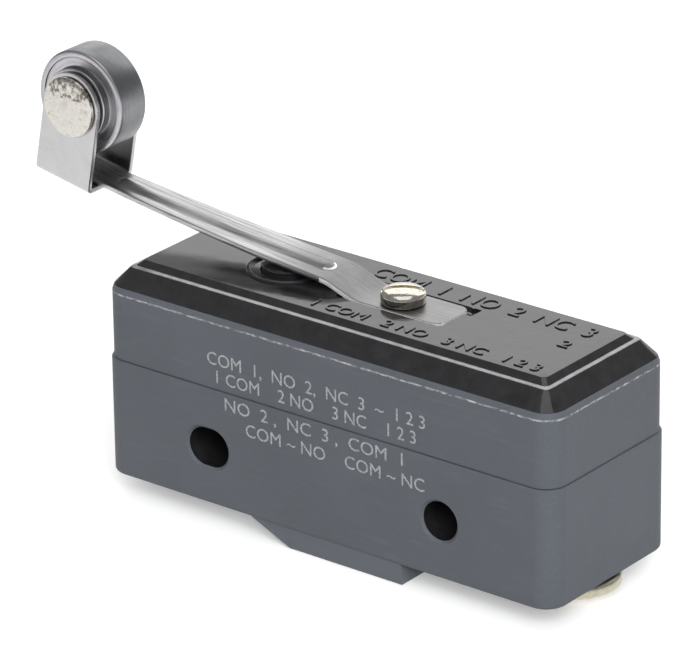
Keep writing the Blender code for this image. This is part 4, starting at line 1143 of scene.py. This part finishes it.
def build_terminal_screws():
    """A cup washer and a slotted binding-head screw under each terminal."""
    for name in TERMINALS:
        low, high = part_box(f"{name}_terminal_screw")
        place = ((low.x + high.x) / 2, MID_Y, UNDERSIDE)
        shank, head = TERMINAL_SHANK_RADIUS, TERMINAL_HEAD_RADIUS
        top, tip = TERMINAL_SCREW_TOP, TERMINAL_SCREW_BOTTOM
        bore = shank + 2 * RUNNING_GAP
        bottom = WASHER_TOP - WASHER_THICKNESS
        lip_inner = WASHER_RADIUS - WASHER_LIP
        cup = [
            (bore, WASHER_TOP),
            (WASHER_RADIUS, WASHER_TOP),
            (WASHER_RADIUS, bottom - WASHER_LIP),
            (lip_inner, bottom - WASHER_LIP),
            (lip_inner, bottom),
            (bore, bottom),
        ]
        radii = (0.04 * MM, 0.4 * MM, 0.2 * MM, 0.1 * MM, 0.15 * MM, 0.04 * MM)
        washer = turned(f"{name}_cup_washer", fillet(cup, radii, 4, closed=True), place)
        finish_piece(washer, "base", WASHER_PLATE, [f"{name}_terminal_washer"])

        head_top = bottom - 0.1 * MM
        points = [(0.0, top), (shank, top), (shank, head_top), (head, head_top)]
        points += [(head, tip + 0.35 * MM), (head * 0.6, tip), (0.0, tip)]
        radii = (0.0, 0.3 * MM, 0.05 * MM, 0.08 * MM, 0.3 * MM, 0.5 * MM, 0.0)
        screw = turned(f"{name}_binding_screw", fillet(points, radii, 4), place)
        half = TERMINAL_SLOT_HALF_WIDTH
        reach = head + OVERSHOOT
        slot_low = (place[0] - half, MID_Y - reach, up(tip - OVERSHOOT))
        slot_high = (place[0] + half, MID_Y + reach, up(tip + TERMINAL_SLOT_DEPTH))
        cut(screw, block("slot", slot_low, slot_high, 0.08 * MM, 2))
        finish_piece(screw, "base", NICKEL, [f"{name}_terminal_screw"])


# --- legends


def legend(name, words, size, ends, thickness, y, z, upright, surface, slot):
    """Plain lettering as a mesh between two ends in x, lying on top or standing on the front."""
    curve = bpy.data.curves.new(name, "FONT")
    curve.body = words
    curve.size = size
    curve.extrude = thickness / 2
    curve.resolution_u = 3
    curve.align_x = "CENTER"
    curve.align_y = "CENTER"
    writing = placed(name, curve)
    depsgraph = bpy.context.evaluated_depsgraph_get()
    mesh = bpy.data.meshes.new_from_object(writing.evaluated_get(depsgraph))
    bpy.data.objects.remove(writing)
    reach = [vert.co.x for vert in mesh.vertices]
    mesh.transform(Matrix.Translation((-(max(reach) + min(reach)) / 2, 0.0, 0.0)))
    left, right = ends[0] * MM, ends[1] * MM
    mesh.transform(Matrix.Diagonal(((right - left) / (max(reach) - min(reach)), 1.0, 1.0, 1.0)))
    tilt = Matrix.Rotation(math.pi / 2, 4, "X") if upright else Matrix.Identity(4)
    mesh.transform(Matrix.Translation(((left + right) / 2, y, z)) @ tilt)
    coat(mesh, surface)
    letters = placed(name, mesh)
    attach(letters, "base")
    return letters


def build_legends():
    """Terminal names and plain numerals: raised on top, in four printed rows in front (mm)."""
    rise = 0.1 * MM
    raised = (  # (name, words, letter size, ends in x, y from the middle)
        ("top_rear", "COM  1  NO  2  NC  3", 2.7, (-3.6, 19.8), 3.9),
        ("top_front", "1 COM   2 NO   3 NC   1 2 3", 1.9, (-3.6, 20.4), -4.7),
        ("top_mark", "2", 1.9, (18.6, 19.6), 0.7),
    )
    for name, words, size, ends, y in raised:
        spot = (MID_Y + y * MM, up(BODY_HEIGHT))
        legend(name, words, size * MM, ends, rise * 2, *spot, False, GLOSS, "cover_phenolic")

    ink_rise = 0.012 * MM
    letter_size = 1.72 * MM
    printed = (  # (name, words, ends in x, height)
        ("front_row_1", "COM  1,  NO  2,  NC  3  ~  1 2 3", (-12.6, 11.2), 14.0),
        ("front_row_2", "1 COM    2 NO    3 NC    1 2 3", (-11.6, 10.2), 12.35),
        ("front_row_3", "NO  2 ,  NC  3 ,  COM  1", (-10.6, 8.9), 10.05),
        ("front_row_4", "COM ~ NO    COM ~ NC", (-8.3, 11.2), 8.2),
    )
    for name, words, ends, height in printed:
        on_cover = height * MM > SPLIT_HEIGHT
        spot = (MID_Y - HALF_DEPTH + (COVER_STEP if on_cover else 0.0), up(height * MM))
        legend(name, words, letter_size, ends, ink_rise * 2, *spot, True, INK, "ground_phenolic")


# --- inner CAD nodes


def dress_inner_nodes():
    """The sealed pieces keep their CAD shape and get materials of their own."""
    looks = {
        "snap_blade": COPPER,
        "moving_contact": SILVER,
        "no_contact": SILVER,
        "nc_contact": SILVER,
        "blade_rivet": NICKEL,
        "lever_screw_insert": BRASS,
        "com_terminal": BRASS,
        "no_terminal": BRASS,
        "nc_terminal": BRASS,
    }
    for name, surface in looks.items():
        coat(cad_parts[name].data, surface)


# --- studio


def build_floor():
    """Plain paper just under the object, which doesn't light it from below."""
    reach = 1.5
    shape = bmesh.new()
    bmesh.ops.create_grid(shape, x_segments=1, y_segments=1, size=reach)
    floor = new_object("floor", shape)
    floor.data.transform(Matrix.Translation((0.0, 0.0, CAD_BOX[0][2] - 0.02 * MM)))
    floor.data.materials.append(studio_paper("floor_paper", FLOOR_GLOW, FAR_GLOW))
    floor.visible_diffuse = False


def build_backdrop():
    """A pale dome for low views, seen by the camera alone."""
    reach = 1.4
    shape = bmesh.new()
    bmesh.ops.create_uvsphere(shape, u_segments=48, v_segments=24, radius=reach)
    backdrop = new_object("backdrop", shape)
    backdrop.data.shade_smooth()
    backdrop.data.materials.append(studio_paper("backdrop_paper", FAR_GLOW, FAR_GLOW))
    for ray in ("diffuse", "glossy", "transmission", "shadow"):
        setattr(backdrop, f"visible_{ray}", False)


def area_light(name, centre, aim, width, height, radiance):
    """A soft rectangle of the given radiance facing its aim, hidden from the camera."""
    light = bpy.data.lights.new(name, "AREA")
    light.shape = "RECTANGLE"
    light.size = width
    light.size_y = height
    light.energy = radiance * math.pi * width * height
    lamp = placed(name, light)
    lamp.location = centre
    lamp.rotation_euler = (Vector(aim) - Vector(centre)).to_track_quat("-Z", "Y").to_euler()
    lamp.visible_camera = False
    return lamp


def build_lights():
    """A soft key from the front right, softer light from above and behind, and a dim white room."""
    body = Vector((0.0, MID_Y, up(BODY_HEIGHT)))
    area_light("back_soft", body + Vector((-0.09, 0.19, 0.13)), body, 0.34, 0.24, 1.25)
    area_light("top_soft", body + Vector((0.05, -0.05, 0.45)), body, 0.40, 0.40, 0.9)
    key_spot = body + Vector((0.41, -0.41, 0.40))
    key = area_light("key", key_spot, body, 0.46, 0.40, 7.9)
    key.visible_glossy = False
    area_light("key_gleam", key_spot, body, 0.46, 0.40, 1.7)
    world = bpy.data.worlds.new("studio")
    world.use_nodes = True
    world.node_tree.nodes["Background"].inputs["Color"].default_value = (1.0, 1.0, 1.0, 1.0)
    world.node_tree.nodes["Background"].inputs["Strength"].default_value = 0.26
    bpy.context.scene.world = world
    bpy.context.scene.view_settings.view_transform = "Standard"


def build_camera():
    """A long lens from the front right, a little above the object and barely rolled."""
    azimuth = math.radians(CAMERA_AZIMUTH)
    elevation = math.radians(CAMERA_ELEVATION)
    level = math.cos(elevation)
    back = Vector((math.sin(azimuth) * level, -math.cos(azimuth) * level, math.sin(elevation)))
    right = Vector((0.0, 0.0, 1.0)).cross(back).normalized()
    facing = Matrix((right, back.cross(right), back)).transposed()
    roll = Matrix.Rotation(math.radians(CAMERA_ROLL), 3, back)
    target = Vector((CAMERA_TARGET_X, MID_Y, up(CAMERA_TARGET_HEIGHT)))
    lens = bpy.data.cameras.new("camera")
    lens.lens = 275.04
    lens.sensor_width = 36.0
    lens.clip_start = 0.01
    lens.clip_end = 10.0
    camera = placed("camera", lens)
    place = Matrix.Translation(target + back * CAMERA_DISTANCE)
    camera.matrix_world = place @ (roll @ facing).to_4x4()
    bpy.context.scene.camera = camera


# --- scene


build_camera()
build_floor()
build_backdrop()
build_lights()
build_case()
build_cover()
build_plunger()
build_lever_screw()
build_lever()
build_bracket()
build_roller()
build_roller_pin()
build_terminal_screws()
build_legends()
dress_inner_nodes()
